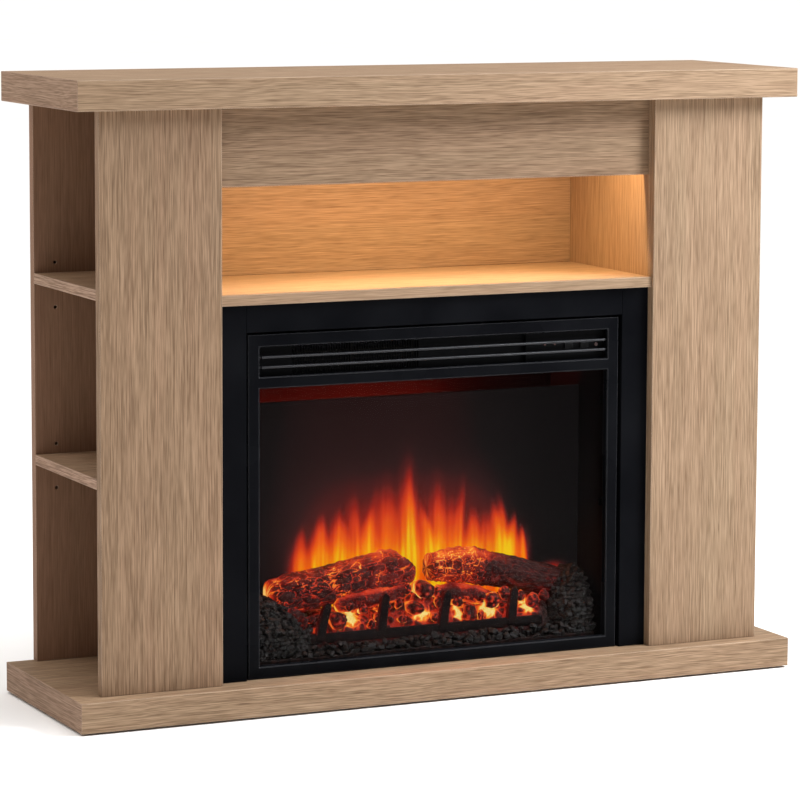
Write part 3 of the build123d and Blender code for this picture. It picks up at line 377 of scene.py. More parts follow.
# ---------------------------------------------------------------- black and metal parts
def black_satin(name, colour, roughness, grain=900, relief=0.00006, specular=0.04, edges=0.0):
    """Satin black coating: a fine orange peel and a faint cloudy gloss. edges is how strongly a painted
    highlight, a paler grey, is drawn along the sharp edges."""
    m = Material(name)
    place = m.place()
    peel = m.noise(place, grain, detail=2)
    clouds = m.noise(place, 9, detail=3)
    lighter = tuple(c * 1.35 + 0.002 for c in colour)
    paint, normal = m.ramp(clouds, [(0.35, colour), (0.7, lighter)]), None
    if edges:
        # painted highlight: a paler grey is painted along the sharp edges, standing in for light caught on
        # them
        grey_edge_highlight, normal = m.edge(0.0012)
        paint = m.mix(m.math("MULTIPLY", grey_edge_highlight, edges), paint, (0.10, 0.10, 0.108))
    m.principled(paint, m.remap(clouds, 0.3, 0.7, roughness - 0.05, roughness + 0.06),
                 normal=m.bump(peel, relief, 0.5, normal), specular=specular)
    return m.material


def sheet_metal(name, colour, roughness, spangle=90):
    """Zinc coated sheet: pale spangle patches and fine rolling lines."""
    m = Material(name)
    place = m.place()
    patches = m.voronoi(place, spangle, output="Color")
    lines = m.noise(m.stretch(place, (30, 900, 900)), 1.0, detail=2)
    tone = m.math("ADD", m.math("MULTIPLY", m.split(patches)[0], 0.35), m.math("MULTIPLY", lines, 0.65))
    dark = tuple(c * 0.72 for c in colour)
    gloss = m.remap(tone, 0.2, 0.8, roughness - 0.06, roughness + 0.1)
    m.principled(m.ramp(tone, [(0.2, dark), (0.8, colour)]), gloss, metallic=1.0,
                 normal=m.bump(lines, 0.00004, 0.4))
    return m.material


def moulded(name, colour, roughness=0.5, grain=1400, specular=0.5):
    """Moulded plastic with a fine spark-eroded grain."""
    m = Material(name)
    place = m.place()
    fine = m.noise(place, grain, detail=2)
    broad = m.noise(place, 22, detail=2)
    lighter = tuple(min(c * 1.2 + 0.004, 1) for c in colour)
    gloss = m.remap(broad, 0.3, 0.7, roughness - 0.04, roughness + 0.05)
    m.principled(m.ramp(broad, [(0.35, colour), (0.65, lighter)]), gloss, specular=specular,
                 normal=m.bump(fine, 0.00005, 0.5))
    return m.material


def circuit(name):
    """Green solder mask with paler tracks."""
    m = Material(name)
    place = m.place()
    cells = m.voronoi(m.stretch(place, (220, 220, 220)), 1.0, feature="DISTANCE_TO_EDGE")
    tracks = m.remap(cells, 0.03, 0.09)
    colour = m.ramp(tracks, [(0.0, (0.10, 0.30, 0.13)), (1.0, (0.02, 0.11, 0.045))])
    m.principled(colour, 0.35, normal=m.bump(tracks, 0.0001, 0.5))
    return m.material


def dress_metal():
    """Coated steel and boards, bare metals, then the plastics and small parts."""
    # painted highlight: edges paints paler lines along the bezel's sharp edges
    powder = black_satin("black_powder_coat", (0.0018, 0.0020, 0.0029), 0.28, specular=0.03, edges=0.8)
    dress(powder, "insert_bezel")
    dress(black_satin("louvre_paint", (0.008, 0.008, 0.010), 0.42, specular=0.32), "louvre_bars")
    dress(black_satin("grille_paint", (0.0022, 0.0022, 0.0026), 0.5), "outlet_guard", "control_panel")
    # painted highlight: edges paints paler lines along the rockers' sharp edges
    rocker = black_satin("rocker_satin", (0.0035, 0.0035, 0.004), 0.35, specular=0.10, edges=0.35)
    dress(rocker, "power_rocker", "heat_rocker")
    dress(black_satin("black_faced_board", (0.0016, 0.0018, 0.0027), 0.40, grain=500, specular=0.03),
          "left_trim", "right_trim", "top_trim")
    dress(black_satin("black_heat_paint", (0.004, 0.0035, 0.0035), 0.6), "insert_casing", "heater_deck",
          "glass_clips", "insert_rear_cover")
    dress(black_satin("screen_panel", (0.006, 0.005, 0.005), 0.5), "flame_screen")
    zinc = sheet_metal("zinc_sheet", (0.62, 0.63, 0.64), 0.36)
    dress(zinc, "wall_brackets", "insert_brackets", "blower_housing")
    dress(sheet_metal("heat_stained_duct", (0.030, 0.026, 0.024), 0.5), "heater_duct")
    dress(sheet_metal("bright_tabs", (0.85, 0.84, 0.80), 0.16, spangle=30), "flicker_spindle")
    dress(sheet_metal("zinc_screws", (0.55, 0.55, 0.56), 0.3, spangle=400), "assembly_screws", "shelf_pins",
          "blower_motor", "spindle_motor")
    dress(sheet_metal("aluminium_profile", (0.80, 0.80, 0.81), 0.28, spangle=600), "led_profile")
    dress(sheet_metal("sintered_bronze", (0.60, 0.42, 0.20), 0.4, spangle=1500), "shaft_bushes")
    dress(circuit("circuit_board"), "led_strip", "led_boards", "control_board")
    dress(moulded("black_plastic", (0.009, 0.009, 0.010), 0.42), "cord_gland", "insert_feet")
    dress(moulded("grey_plastic", (0.20, 0.20, 0.21)), "blower_wheel", "thermal_cutout")
    dress(moulded("glide_plastic", (0.75, 0.74, 0.70)), "floor_glides")
    dress(moulded("mica_card", (0.020, 0.016, 0.012), 0.6, specular=0.1), "heater_element")
    dress(moulded("lamp_lens", (0.05, 0.012, 0.010), 0.15), "panel_lenses")


# ---------------------------------------------------------------- niche light
WARM = (1.0, 0.68, 0.34)
STRIP_WATTS = 3.9
STRIP_DROP = 0.004       # lamp below the diffuser


def light_niche():
    """The milky diffuser glows, and a long lamp just under it lights the niche."""
    m = Material("lit_diffuser")
    spots = m.noise(m.stretch(m.place(), (30, 200, 200)), 1.0, detail=1)
    glow = m.ramp(spots, [(0.3, (1.0, 0.58, 0.25)), (0.7, (1.0, 0.66, 0.33))])
    m.principled((0.9, 0.8, 0.62), 0.5, glow=glow, glow_strength=3.0)
    dress(m.material, "led_diffuser")
    low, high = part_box("led_diffuser")
    middle = (low + high) / 2
    spot = (middle.x, middle.y, low.z - STRIP_DROP)
    size = (high.x - low.x, high.y - low.y)
    strip = area_light("niche_strip", spot, (spot[0], spot[1] + 0.03, 0), size, STRIP_WATTS, WARM)
    strip.data.spread = math.radians(155)


# ---------------------------------------------------------------- fire
def piece(name, slot, verts, faces, material, shade_smooth=True, **layers):
    """A mesh from points in millimetres, with one value per point in each layer, riding on the mantel."""
    mesh = bpy.data.meshes.new(name)
    mesh.from_pydata((np.asarray(verts, float) * MM).tolist(), [], faces)
    for layer, values in layers.items():
        data = mesh.attributes.new(layer, "FLOAT", "POINT").data
        data.foreach_set("value", np.asarray(values, np.float32).ravel())
    mesh.polygons.foreach_set("use_smooth", [shade_smooth] * len(mesh.polygons))
    mesh.materials.append(material)
    mesh.update()
    made = bpy.data.objects.new(name, mesh)
    scene.collection.objects.link(made)
    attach(made, "mantel")
    return made


def grid_faces(rows, columns, wrap=False, first=0):
    """Quads over rows of points. wrap joins each row's end to its start and caps both ends."""
    index = np.arange(rows * columns).reshape(rows, columns) + first
    if wrap:
        index = np.hstack([index, index[:, :1]])
    quads = np.stack([index[:-1, :-1], index[:-1, 1:], index[1:, 1:], index[1:, :-1]], -1)
    quads = quads.reshape(-1, 4).tolist()
    if wrap:
        quads += [index[0, :-1][::-1].tolist(), index[-1, :-1].tolist()]
    return quads


GLOW_STOPS = [
    (0.0, (0, 0, 0)), (0.12, srgb(45, 6, 5)), (0.28, srgb(115, 18, 12)), (0.42, srgb(190, 42, 22)),
    (0.58, srgb(238, 84, 30)), (0.75, srgb(255, 135, 34)), (0.9, srgb(255, 190, 45)),
    (1.0, srgb(255, 236, 150)),
]
FLAME_STOPS = [
    (0.0, srgb(10, 8, 8)), (0.06, srgb(17, 12, 12)), (0.14, srgb(48, 22, 21)), (0.25, srgb(92, 27, 24)),
    (0.40, srgb(158, 35, 24)), (0.56, srgb(222, 60, 22)), (0.74, srgb(250, 102, 14)),
    (0.88, srgb(255, 150, 8)), (1.0, srgb(255, 208, 22)),
]


def glowing_char(name, colour=(0.013, 0.0058, 0.0048), grain=700):
    """Painted charcoal over translucent resin: it glows where the glow layer is above zero, which on the
    logs also holds painted firelight.
    """
    m = Material(name)
    place = m.place()
    fine = m.noise(place, grain, detail=4, roughness=0.65)
    ash = m.noise(place, 160, detail=3)
    sooty, ashen = tuple(c * 0.4 for c in colour), tuple(c * 2.8 for c in colour)
    base = m.mix(m.remap(ash, 0.40, 0.66), sooty, ashen)
    flicker = m.remap(fine, 0.25, 0.7, 0.82, 1.12)
    glow = m.ramp(m.math("MULTIPLY", m.attribute("glow"), flicker), GLOW_STOPS)
    m.principled(base, m.remap(fine, 0.3, 0.7, 0.40, 0.72), normal=m.bump(fine, 0.0009, 0.8), specular=0.12,
                 glow=glow, glow_strength=1.0)
    m.material.cycles.emission_sampling = "NONE"
    return m.material


# one row per tongue: x and z of the tip, x and half width of the foot, heat, and how much it tapers
TONGUES = (
    (-166, 252, -171, 12, 0.56, 1.0), (-137, 270, -140, 17, 0.86, 1.0), (-109, 274, -109, 19, 0.90, 1.0),
    (-88, 315, -83, 12, 0.54, 0.45), (-55, 274, -65, 15, 0.90, 1.0), (-47, 318, -58, 8, 0.42, 0.7),
    (-34, 330, -33, 20, 0.70, 0.6), (0, 372, 1, 19, 0.90, 0.55), (4, 330, 9, 11, 0.80, 1.0),
    (17, 274, 36, 13, 0.90, 1.0), (48, 330, 50, 14, 0.72, 0.5), (72, 285, 70, 20, 0.52, 0.5),
    (93, 322, 84, 8, 0.62, 0.6),
    (109, 262, 107, 14, 0.76, 1.0), (130, 262, 129, 17, 0.54, 0.5), (134, 274, 150, 12, 0.80, 1.0),
    (145, 285, 158, 14, 0.86, 0.9), (177, 250, 171, 10, 0.92, 1.0), (186, 226, 189, 5, 0.66, 0.9),
)
FOOT = 196.0             # level of the tongues' feet


def flame_heat(x, z):
    """How hot the flame picture is: separate tongues over a low band of fire and a wide dim halo."""
    cool = np.ones_like(x)
    for tip_x, tip_z, foot_x, half, heat, taper in TONGUES:
        t = (z - FOOT) / (tip_z - FOOT)
        rise, below = np.clip(t, 0, 1), np.minimum(t, 0)
        centre = foot_x + (tip_x - foot_x) * np.where(t > 0, rise ** 1.3, 0.6 * t)
        width = half * (1 - taper * rise * 0.9999) ** 0.72 * (1 - 0.35 * below) + 0.8
        u = (x - centre) / width
        across = np.where(u < 0, smooth(u, -1.5, 0.10), smooth(u, 1.35, 0.10))
        across = across * (0.92 + 0.10 * np.clip(u, -1, 1))
        fade = smooth(rise, 1.0, 0.40 + 0.2 * (taper - 1))
        along = heat * (1 - (0.92 - 0.18 * taper) * rise) * fade * (1 - 0.25 * np.maximum(below, -1.2))
        cool *= 1 - np.clip(along * across, 0, 0.995)
    spread = smooth(x, -204, -156) * smooth(x, 214, 178)
    band = 0.60 * np.exp(-((z - 176) / 32) ** 2) * spread
    haze = 0.25 * np.exp(-((x - 5) / 150) ** 4) * smooth(z, 345, 215)
    halo = 0.150 * np.exp(-((x + 45) / 190) ** 4) * (0.75 + 0.25 * smooth(z, 430, 250))
    far = 0.42 * np.exp(-((x - 240) / 20) ** 2 - ((z - 150) / 11) ** 2)
    heat = 1 - cool * (1 - band) * (1 - haze) * (1 - halo) * (1 - far)
    return heat * smooth(z, 92, 125) * (1 - 0.16 * smooth(z, 225, 320))


def make_flame_picture():
    """The picture of flames, a film on the front of the dark screen."""
    low, high = (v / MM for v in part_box("flame_screen"))
    xs = np.linspace(low.x + 0.5, high.x - 0.5, 330)
    zs = np.linspace(low.z + 0.5, high.z - 0.5, 210)
    x, z = np.meshgrid(xs, zs)
    drift = np.array([[noise.noise(Vector((a / 22, b / 60, 4.0))) for a in xs] for b in zs])
    fibre = np.array([[noise.noise(Vector((a / 4.5, b / 70, 9.0))) for a in xs] for b in zs])
    heat = flame_heat(x + 3.0 * drift * smooth(z, 190, 260), z)
    heat = np.clip(heat * (1 + 0.16 * fibre * smooth(heat, 0.1, 0.3)), 0, 1)
    points = np.stack([x, np.full_like(x, low.y - 0.25), z], -1).reshape(-1, 3)
    m = Material("flame_film")
    glow = m.ramp(m.attribute("glow"), FLAME_STOPS)
    weave = m.noise(m.place(), 1600, detail=1)
    m.principled((0.004, 0.003, 0.003), 0.6, normal=m.bump(weave, 0.00005, 0.3), specular=0.02,
                 glow=glow, glow_strength=1.0)
    m.material.cycles.emission_sampling = "NONE"
    piece("flame_picture", "flame_screen", points, grid_faces(len(zs), len(xs)), m.material, glow=heat)


def bark(place, radius, seed, long, wide):
    """Bark at a point given as (along, across, across) in mm: its relief in mm, and 0 to 1 for a crack."""
    wander = noise.noise_vector(place / 19 + Vector((seed, 0, 0))) * 2.6
    q = place + wander
    cell = Vector((q.x / long + seed, q.y / wide, q.z / wide))
    near, _ = noise.voronoi(cell, distance_metric="CHEBYCHEV")
    edge = near[1] - near[0]
    crack = 1 - float(smooth(edge, 0.004, 0.060))
    run = abs(noise.noise(Vector((q.x / 70 + seed, q.y / 7.5, q.z / 7.5))))
    crack = max(crack, 0.8 * (1 - float(smooth(run, 0.004, 0.036))))
    swell = noise.noise(Vector((place.x / 46, place.y / 26, place.z / 26 + seed)))
    ridge = noise.noise(Vector((place.x / 24, place.y / 2.7, place.z / 2.7)))
    knob = noise.noise(Vector((place.x / 13, place.y / 6.5, place.z / 6.5 + seed)))
    fine = noise.noise(Vector((place.x / 4, place.y / 1.7, place.z / 1.7)))
    relief = 0.11 * radius * swell + 1.5 * float(smooth(edge, 0.08, 0.55)) - 2.2 * crack
    relief += 1.3 * ridge + 1.5 * knob + 0.7 * fine
    return relief, crack


BARK_STEP = 1.15         # mm between neighbouring points of a log


def make_log(name, node, material, spine, radii, seed, fire, long=24.0, wide=11.0, snap=None):
    """A log of charred bark along a bent spine. fire(u, up, patch, crack) says how much each point glows:
    u runs 0 to 1 from the left end, up is 1 on top and -1 below, and patch is a slow noise. snap, as
    (x, z, slope), is where a broken end starts to fall away from the log's top."""
    spine = [Vector(p) for p in spine]
    length = sum((b - a).length for a, b in zip(spine, spine[1:]))
    mean = sum(radii) / len(radii)
    rings, sides = int(length / BARK_STEP), int(2 * math.pi * mean / BARK_STEP)
    steps, stations = np.linspace(0, 1, len(spine)), np.linspace(0, 1, rings)
    path = np.stack([np.interp(stations, steps, [p[k] for p in spine]) for k in range(3)], 1)
    kernel = np.hanning(max(rings // 4, 5) | 1)
    kernel /= kernel.sum()
    pad = len(kernel) // 2
    padded = [np.pad(path[:, k], pad, mode="reflect", reflect_type="odd") for k in range(3)]
    path = np.stack([np.convolve(line, kernel, "valid") for line in padded], 1)
    verts, glow = [], []
    for i, u in enumerate(stations):
        along = Vector(path[min(i + 1, rings - 1)] - path[max(i - 1, 0)]).normalized()
        level = along.cross(Vector((0, -1, 0))).normalized()
        outward = level.cross(along).normalized()
        radius = float(np.interp(u, np.linspace(0, 1, len(radii)), radii))
        from_end = min(u, 1 - u) * length
        cap = math.sqrt(max(1 - (1 - min(from_end / (0.42 * radius), 1)) ** 2, 0.0004))
        for j in range(sides):
            angle = 2 * math.pi * j / sides
            up, front = math.sin(angle), math.cos(angle)
            place = Vector((u * length, radius * front, radius * up))
            relief, crack = bark(place, radius, seed, long, wide)
            broken = 1 + 0.22 * noise.noise(Vector((front * 2.2, up * 2.2, seed + 5 * round(u)))) * (1 - cap)
            reach = (radius + relief * min(1, 0.3 + cap)) * cap * broken
            point = Vector(path[i]) + (outward * front + level * up) * reach
            if snap and point.x > snap[0]:
                splinter = 2.2 * noise.noise(point / 4.5)
                point.z = min(point.z, snap[1] - snap[2] * (point.x - snap[0]) + splinter)
            verts.append(point)
            patch = noise.noise(place / 19 + Vector((0, seed, 3)))
            glow.append(max(0.0, min(1.0, fire(u, up, patch, crack))))
    made = piece(name, "log_resin", verts, grid_faces(rings, sides, wrap=True), material, glow=glow)
    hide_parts(node)


def make_logs():
    """Two thick logs at the back and two thin ones in front of them."""
    char = glowing_char("charred_bark")

    # painted light: in the fire functions, wash paints as glow the flames' light falling on the logs' tops
    # and the bed's light on their undersides; crack * lit is the glow of the logs' own cracks
    def left_fire(u, up, patch, crack):
        lit = 0.34 + 0.36 * float(smooth(patch, -0.15, 0.40)) + 0.35 * float(smooth(u, 0.16, 0.02))
        wash = 0.12 + 0.12 * float(smooth(up, 0.25, 0.85)) + 0.46 * float(smooth(u, 0.045, 0.0))
        wash += 0.24 * float(smooth(up, -0.50, -0.95)) + 0.12 * float(smooth(u, 0.45, 0.75))
        return crack * lit + wash * (0.85 + 0.6 * patch)

    def right_fire(u, up, patch, crack):
        burning = float(smooth(u, 0.62, 0.42))
        lit = burning * (0.36 + 0.26 * float(smooth(patch, -0.2, 0.35))) + 0.16
        wash = 0.07 + 0.16 * burning + 0.08 * burning * float(smooth(up, 0.2, 0.8))
        wash += 0.34 * float(smooth(up, -0.35, -0.8)) * float(smooth(u, 0.8, 0.5))
        return crack * lit + wash * (0.9 + 0.6 * patch)

    # painted light: crest and wash paint the fire's light on the front logs' tops and undersides as glow
    def front_fire(u, up, patch, crack):
        crest = float(smooth(up, 0.52, 0.90))
        wash = 0.58 * crest + 0.17 + 0.35 * float(smooth(up, -0.35, -0.8))
        lit = max(crack * (0.40 + 0.4 * patch), wash * (0.85 + 0.5 * patch))
        return lit + 0.25 * float(smooth(u, 0.08, 0.0))

    make_log("left_rear_log", "rear_logs", char,
             [(-235, -34, 143), (-120, -35, 161), (-4, -34, 177)],
             (25, 29, 28, 28.5, 31, 24), 2.3, left_fire, snap=(-42, 206, 0.85))
    make_log("right_rear_log", "rear_logs", char,
             [(18, -34, 171), (72, -33, 172), (126, -34, 162), (262, -36, 127)],
             (20, 24.5, 26, 23, 20), 7.9, right_fire, long=19.0, wide=10.5)
    make_log("left_front_log", "front_logs", char, [(-137, -53, 132), (-90, -54, 137), (-26, -50, 144)],
             (11, 14, 13.5, 12), 4.4, front_fire, long=10.0, wide=6.0)
    make_log("right_front_log", "front_logs", char, [(22, -52, 138), (70, -54, 134), (116, -52, 122)],
             (10, 13.5, 13, 9), 11.2, front_fire, long=10.0, wide=6.0)


# each hot spot: x, z, reach in x, reach in z, heat
HOT_SPOTS = (
    (-113, 108, 13, 9, 1.15), (-108, 122, 13, 8, 0.62), (-176, 100, 7, 6, 0.62), (-66, 112, 7, 13, 0.50),
    (-3, 106, 15, 8, 1.0), (-20, 138, 13, 14, 0.52), (10, 146, 16, 12, 0.55), (57, 103, 8, 9, 0.95),
    (64, 118, 12, 8, 0.72), (106, 104, 15, 9, 0.98), (108, 122, 12, 9, 0.60), (172, 105, 13, 8, 1.0),
    (166, 118, 9, 9, 0.66),
)


def heat_at(x, z):
    """Heat of the bed behind the grate: hot spots over a dull glow that dies away to both sides."""
    cool = 1.0
    for hot_x, hot_z, reach_x, reach_z, heat in HOT_SPOTS:
        cool *= 1 - min(heat * math.exp(-((x - hot_x) / reach_x) ** 2 - ((z - hot_z) / reach_z) ** 2), 0.99)
    dull = 0.30 * float(smooth(x, -190, -150)) * float(smooth(x, 200, 170))
    return 1 - cool * (1 - dull)


# the coal heap at each end: middle in x, reach in x, height
HEAPS = ((250, 54, 90), (-268, 108, 84))
HEAP_Y, HEAP_REACH = -44, 42


def heap(x, y):
    """Top of the coal heaps at both ends of the bed, in mm above its floor."""
    front = (min(y - HEAP_Y, 0) / HEAP_REACH) ** 2
    domes = [(height, 1 - ((x - middle) / spread) ** 2 - front) for middle, spread, height in HEAPS]
    return max(height * math.sqrt(max(inside, 0)) for height, inside in domes)


BED_FLOOR = 66.0
BED_STEP = 1.5           # mm between neighbouring points of the bed
# y and z of the bed's section, front to back
BED_PROFILE = ((-87.5, 55), (-88, 66), (-73, 66), (-66, 88), (-60, 104), (-50, 113), (-34, 118), (-9, 120))


def make_bed():
    """The moulded ember bed: a lumpy sheet with lit seams, banked up into the heaps at both ends."""
    low, high = (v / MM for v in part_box("ember_bed"))
    xs = np.arange(low.x + 1, high.x, BED_STEP)
    profile = np.array(BED_PROFILE, float)
    run = np.concatenate([[0], np.cumsum(np.linalg.norm(np.diff(profile, axis=0), axis=1))])
    verts, glow = [], []
    stations = np.arange(0, run[-1], BED_STEP)
    for s in stations:
        y, z = np.interp(s, run, profile[:, 0]), np.interp(s, run, profile[:, 1])
        steep = float(smooth(y, -76, -66)) * float(smooth(y, -30, -50))
        rise, fall = float(smooth(y, -66, -50)), float(smooth(y, -16, -34))
        lit = float(smooth(y, -72, -66))
        for x in xs:
            mound = 30 * math.exp(-((x - 2) / 30) ** 2) * rise * fall
            point = Vector((x, y, z))
            cell = Vector((x / 11.5, y / 9.5, (z + mound) / 12.5)) + noise.noise_vector(point / 9) * 0.25
            near, _ = noise.voronoi(cell)
            between = near[1] - near[0]
            seam = 1 - float(smooth(between, 0.04, 0.30))
            dome = float(smooth(between, 0.0, 0.6))
            rough = noise.noise(point / 2.4)
            banked = heap(x, y)
            floor = max(z + mound, BED_FLOOR - 9 + banked)
            lift = 3.2 * dome + 0.7 * rough
            verts.append((x, y - lift * steep * 0.8, floor + lift * 0.7))
            hot = heat_at(x, z + 0.6 * mound) * float(smooth(banked, 34, 12)) * lit
            glow.append(min(hot * (0.36 + 0.85 * seam) + 1.7 * max(hot - 0.5, 0), 1))
    bed = piece("moulded_bed", "glowing_bed", verts, grid_faces(len(stations), len(xs)),
                glowing_char("bed_char", grain=900), glow=glow)
    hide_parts("ember_bed")


def stone_points(rng, sphere, cuts, roundness):
    """Radius at each unit direction of a stone of size 1, cut by random planes."""
    normals = rng.normal(size=(cuts, 3))
    normals /= np.linalg.norm(normals, axis=1)[:, None]
    depth = rng.uniform(roundness, 1.0, cuts)
    lean = np.maximum(sphere @ normals.T, 1e-3)
    return np.minimum((depth / lean).min(axis=1), 1.25)


def unit_sphere(level):
    """Points and faces of a ball of triangles."""
    ball = bmesh.new()
    bmesh.ops.create_icosphere(ball, subdivisions=level, radius=1)
    points = np.array([v.co for v in ball.verts])
    faces = [[v.index for v in f.verts] for f in ball.faces]
    ball.free()
    return points, faces


COARSE, FINE = unit_sphere(2), unit_sphere(3)


def gather_stones(places, seed, cuts, roundness, squat=0.8, ball=COARSE):
    """Stones at places of (x, y, z, size) in mm: points, faces, and each point's direction and centre."""
    rng = np.random.default_rng(seed)
    sphere, sphere_faces = ball
    verts, faces, aims, centres = [], [], [], []
    for x, y, z, size in places:
        radius = stone_points(rng, sphere, cuts, roundness) * size
        shape = sphere * radius[:, None] * rng.uniform((0.8, 0.75, squat * 0.85), (1.25, 1.0, squat * 1.15))
        spin = rng.uniform(0, 2 * math.pi)
        c, s = math.cos(spin), math.sin(spin)
        x_part, y_part, z_part = shape.T
        turned = np.stack([x_part * c - y_part * s, x_part * s + y_part * c, z_part], 1)
        faces += [[i + len(verts) * len(sphere) for i in face] for face in sphere_faces]
        verts.append(turned + (x, y, z))
        aims.append(turned / np.linalg.norm(turned, axis=1)[:, None])
        centres.append(np.tile((x, y, z), (len(sphere), 1)))
    return np.vstack(verts), faces, np.vstack(aims), np.vstack(centres)


COAL_FRONT = -83         # y of the foremost stones' middles
COAL_LIMIT = -89.4       # y that no stone passes
COAL_SIDE = 277          # x that no stone passes


def make_coals():
    """Broken coals: a drift along the front of the bed and a heap at each end."""
    rng = np.random.default_rng(5)
    places = []
    for y, z in ((-84.5, 70), (-79, 76), (-74.5, 72)):
        for x in np.arange(-266, 268, 9.5):
            place = (x + rng.uniform(-3.5, 3.5), y + rng.uniform(-1, 1), z + rng.uniform(-3, 4))
            places.append((*place, rng.uniform(4.6, 7.4)))
    for x in np.arange(-266, 268, 6.6):
        for y in np.arange(-84, -28, 6.6):
            px, py = x + rng.uniform(-2.5, 2.5), y + rng.uniform(-2.5, 2.5)
            top = heap(px, py)
            if top > 12 and abs(px) < 271:
                place = (px, max(py, COAL_FRONT), BED_FLOOR + top - rng.uniform(0, 5))
                places.append((*place, rng.uniform(3.8, 7.6)))
    for middle, spread, height in HEAPS:
        for x in np.arange(max(middle - spread, -268), min(middle + spread, 268), 6.0):
            for level in np.arange(4, height, 6.0):
                inside = 1 - ((x - middle) / spread) ** 2 - (level / height) ** 2
                if inside > 0:
                    y = HEAP_Y - HEAP_REACH * math.sqrt(inside) + rng.uniform(-1, 2)
                    place = (x + rng.uniform(-2, 2), max(y, COAL_FRONT), BED_FLOOR + level)
                    places.append((*place, rng.uniform(3.4, 6.6)))
    verts, faces, _, _ = gather_stones(places, 12, 8, 0.5)
    # the stones stay clear of the side walls and the glass
    verts[:, 0] = np.clip(verts[:, 0], -COAL_SIDE, COAL_SIDE)
    verts[:, 1] = np.maximum(verts[:, 1], COAL_LIMIT)
    m = Material("broken_coal")
    base = m.place()
    fine = m.noise(base, 420, detail=4, roughness=0.7)
    tint = m.noise(base, 60, detail=1)
    colour = m.mix(m.remap(tint, 0.35, 0.65), (0.0035, 0.0026, 0.0026), (0.012, 0.0085, 0.008))
    m.principled(colour, m.remap(fine, 0.3, 0.7, 0.26, 0.62), specular=0.32,
                 normal=m.bump(fine, 0.0009, 1.0))
    coals = piece("loose_coals", "coal", verts, faces, m.material, shade_smooth=False)
    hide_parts("coal_lumps")


# half-burnt lumps in front of the lit bed: x, y, z, size
EMBERS = (
    (1, -56, 144, 14.0), (-15, -61, 120, 12.5), (75, -62, 106, 11.5), (112, -61, 121, 12.0),
    (179, -62, 116, 11.5), (-23, -54, 148, 8.0), (25, -57, 139, 9.0), (26, -59, 124, 8.0),
    (-136, -63, 112, 13.5), (-84, -64, 100, 6.5), (-74, -64, 110, 6.5), (-64, -63, 100, 5.5),
    (-38, -60, 128, 7.5), (-34, -64, 104, 7.0), (17, -65, 103, 6.0), (33, -64, 108, 7.0),
    (56, -60, 124, 8.5), (92, -64, 101, 7.0), (92, -60, 128, 8.0), (131, -62, 130, 8.0),
    (158, -62, 124, 8.0), (-192, -64, 112, 9.0), (-180, -66, 116, 7.0), (-206, -62, 124, 9.0),
    (-98, -63, 124, 8.5), (-60, -61, 124, 9.0), (196, -62, 122, 8.0), (-118, -64, 128, 7.0),
)


def make_embers():
    """Half-burnt lumps with dark faces, and fire round their rims and in their cracks."""
    verts, faces, aims, centres = gather_stones(EMBERS, 31, 14, 0.80, squat=0.95, ball=FINE)
    glow = []
    for point, aim, centre in zip(verts, aims, centres):
        near, _ = noise.voronoi(Vector(point) / 8.5, distance_metric="CHEBYCHEV")
        crack = 1 - float(smooth(near[1] - near[0], 0.01, 0.12))
        rim = float(smooth(-aim[1], 0.50, 0.08)) * (0.85 - 0.35 * aim[2])
        hot = heat_at(centre[0], centre[2])
        glow.append(min(max(0.08 + rim * (0.24 + 1.0 * hot) + crack * (0.20 + 0.50 * hot), 0), 1))
    rough = np.array([noise.noise(Vector(p) / 4.5) + 0.5 * noise.noise(Vector(p) / 1.6) for p in verts])
    verts = verts + aims * rough[:, None] * 1.1
    piece("burning_lumps", "glowing_bed", verts, faces, glowing_char("lump_char", grain=900), glow=glow)


# each finger of the grate: x of the foot, x and z of the tip
FINGERS = ((-166, -153, 138), (-70, -62, 145), (28, 37, 142), (140, 145, 138))
FINGER_FOOT = 84         # level of the fingers' feet
FINGER_HALF, FINGER_TAPER, FINGER_DEEP = 8.6, 1.6, 4.2
FINGER_STATIONS = 36
BAR_LEVEL = 87           # level of the bar's middle
BAR_HALF, BAR_END_HALF, BAR_DEEP = 7.8, 6.6, 2.4
BAR_STATIONS = 90
GRATE_SIDES = 28


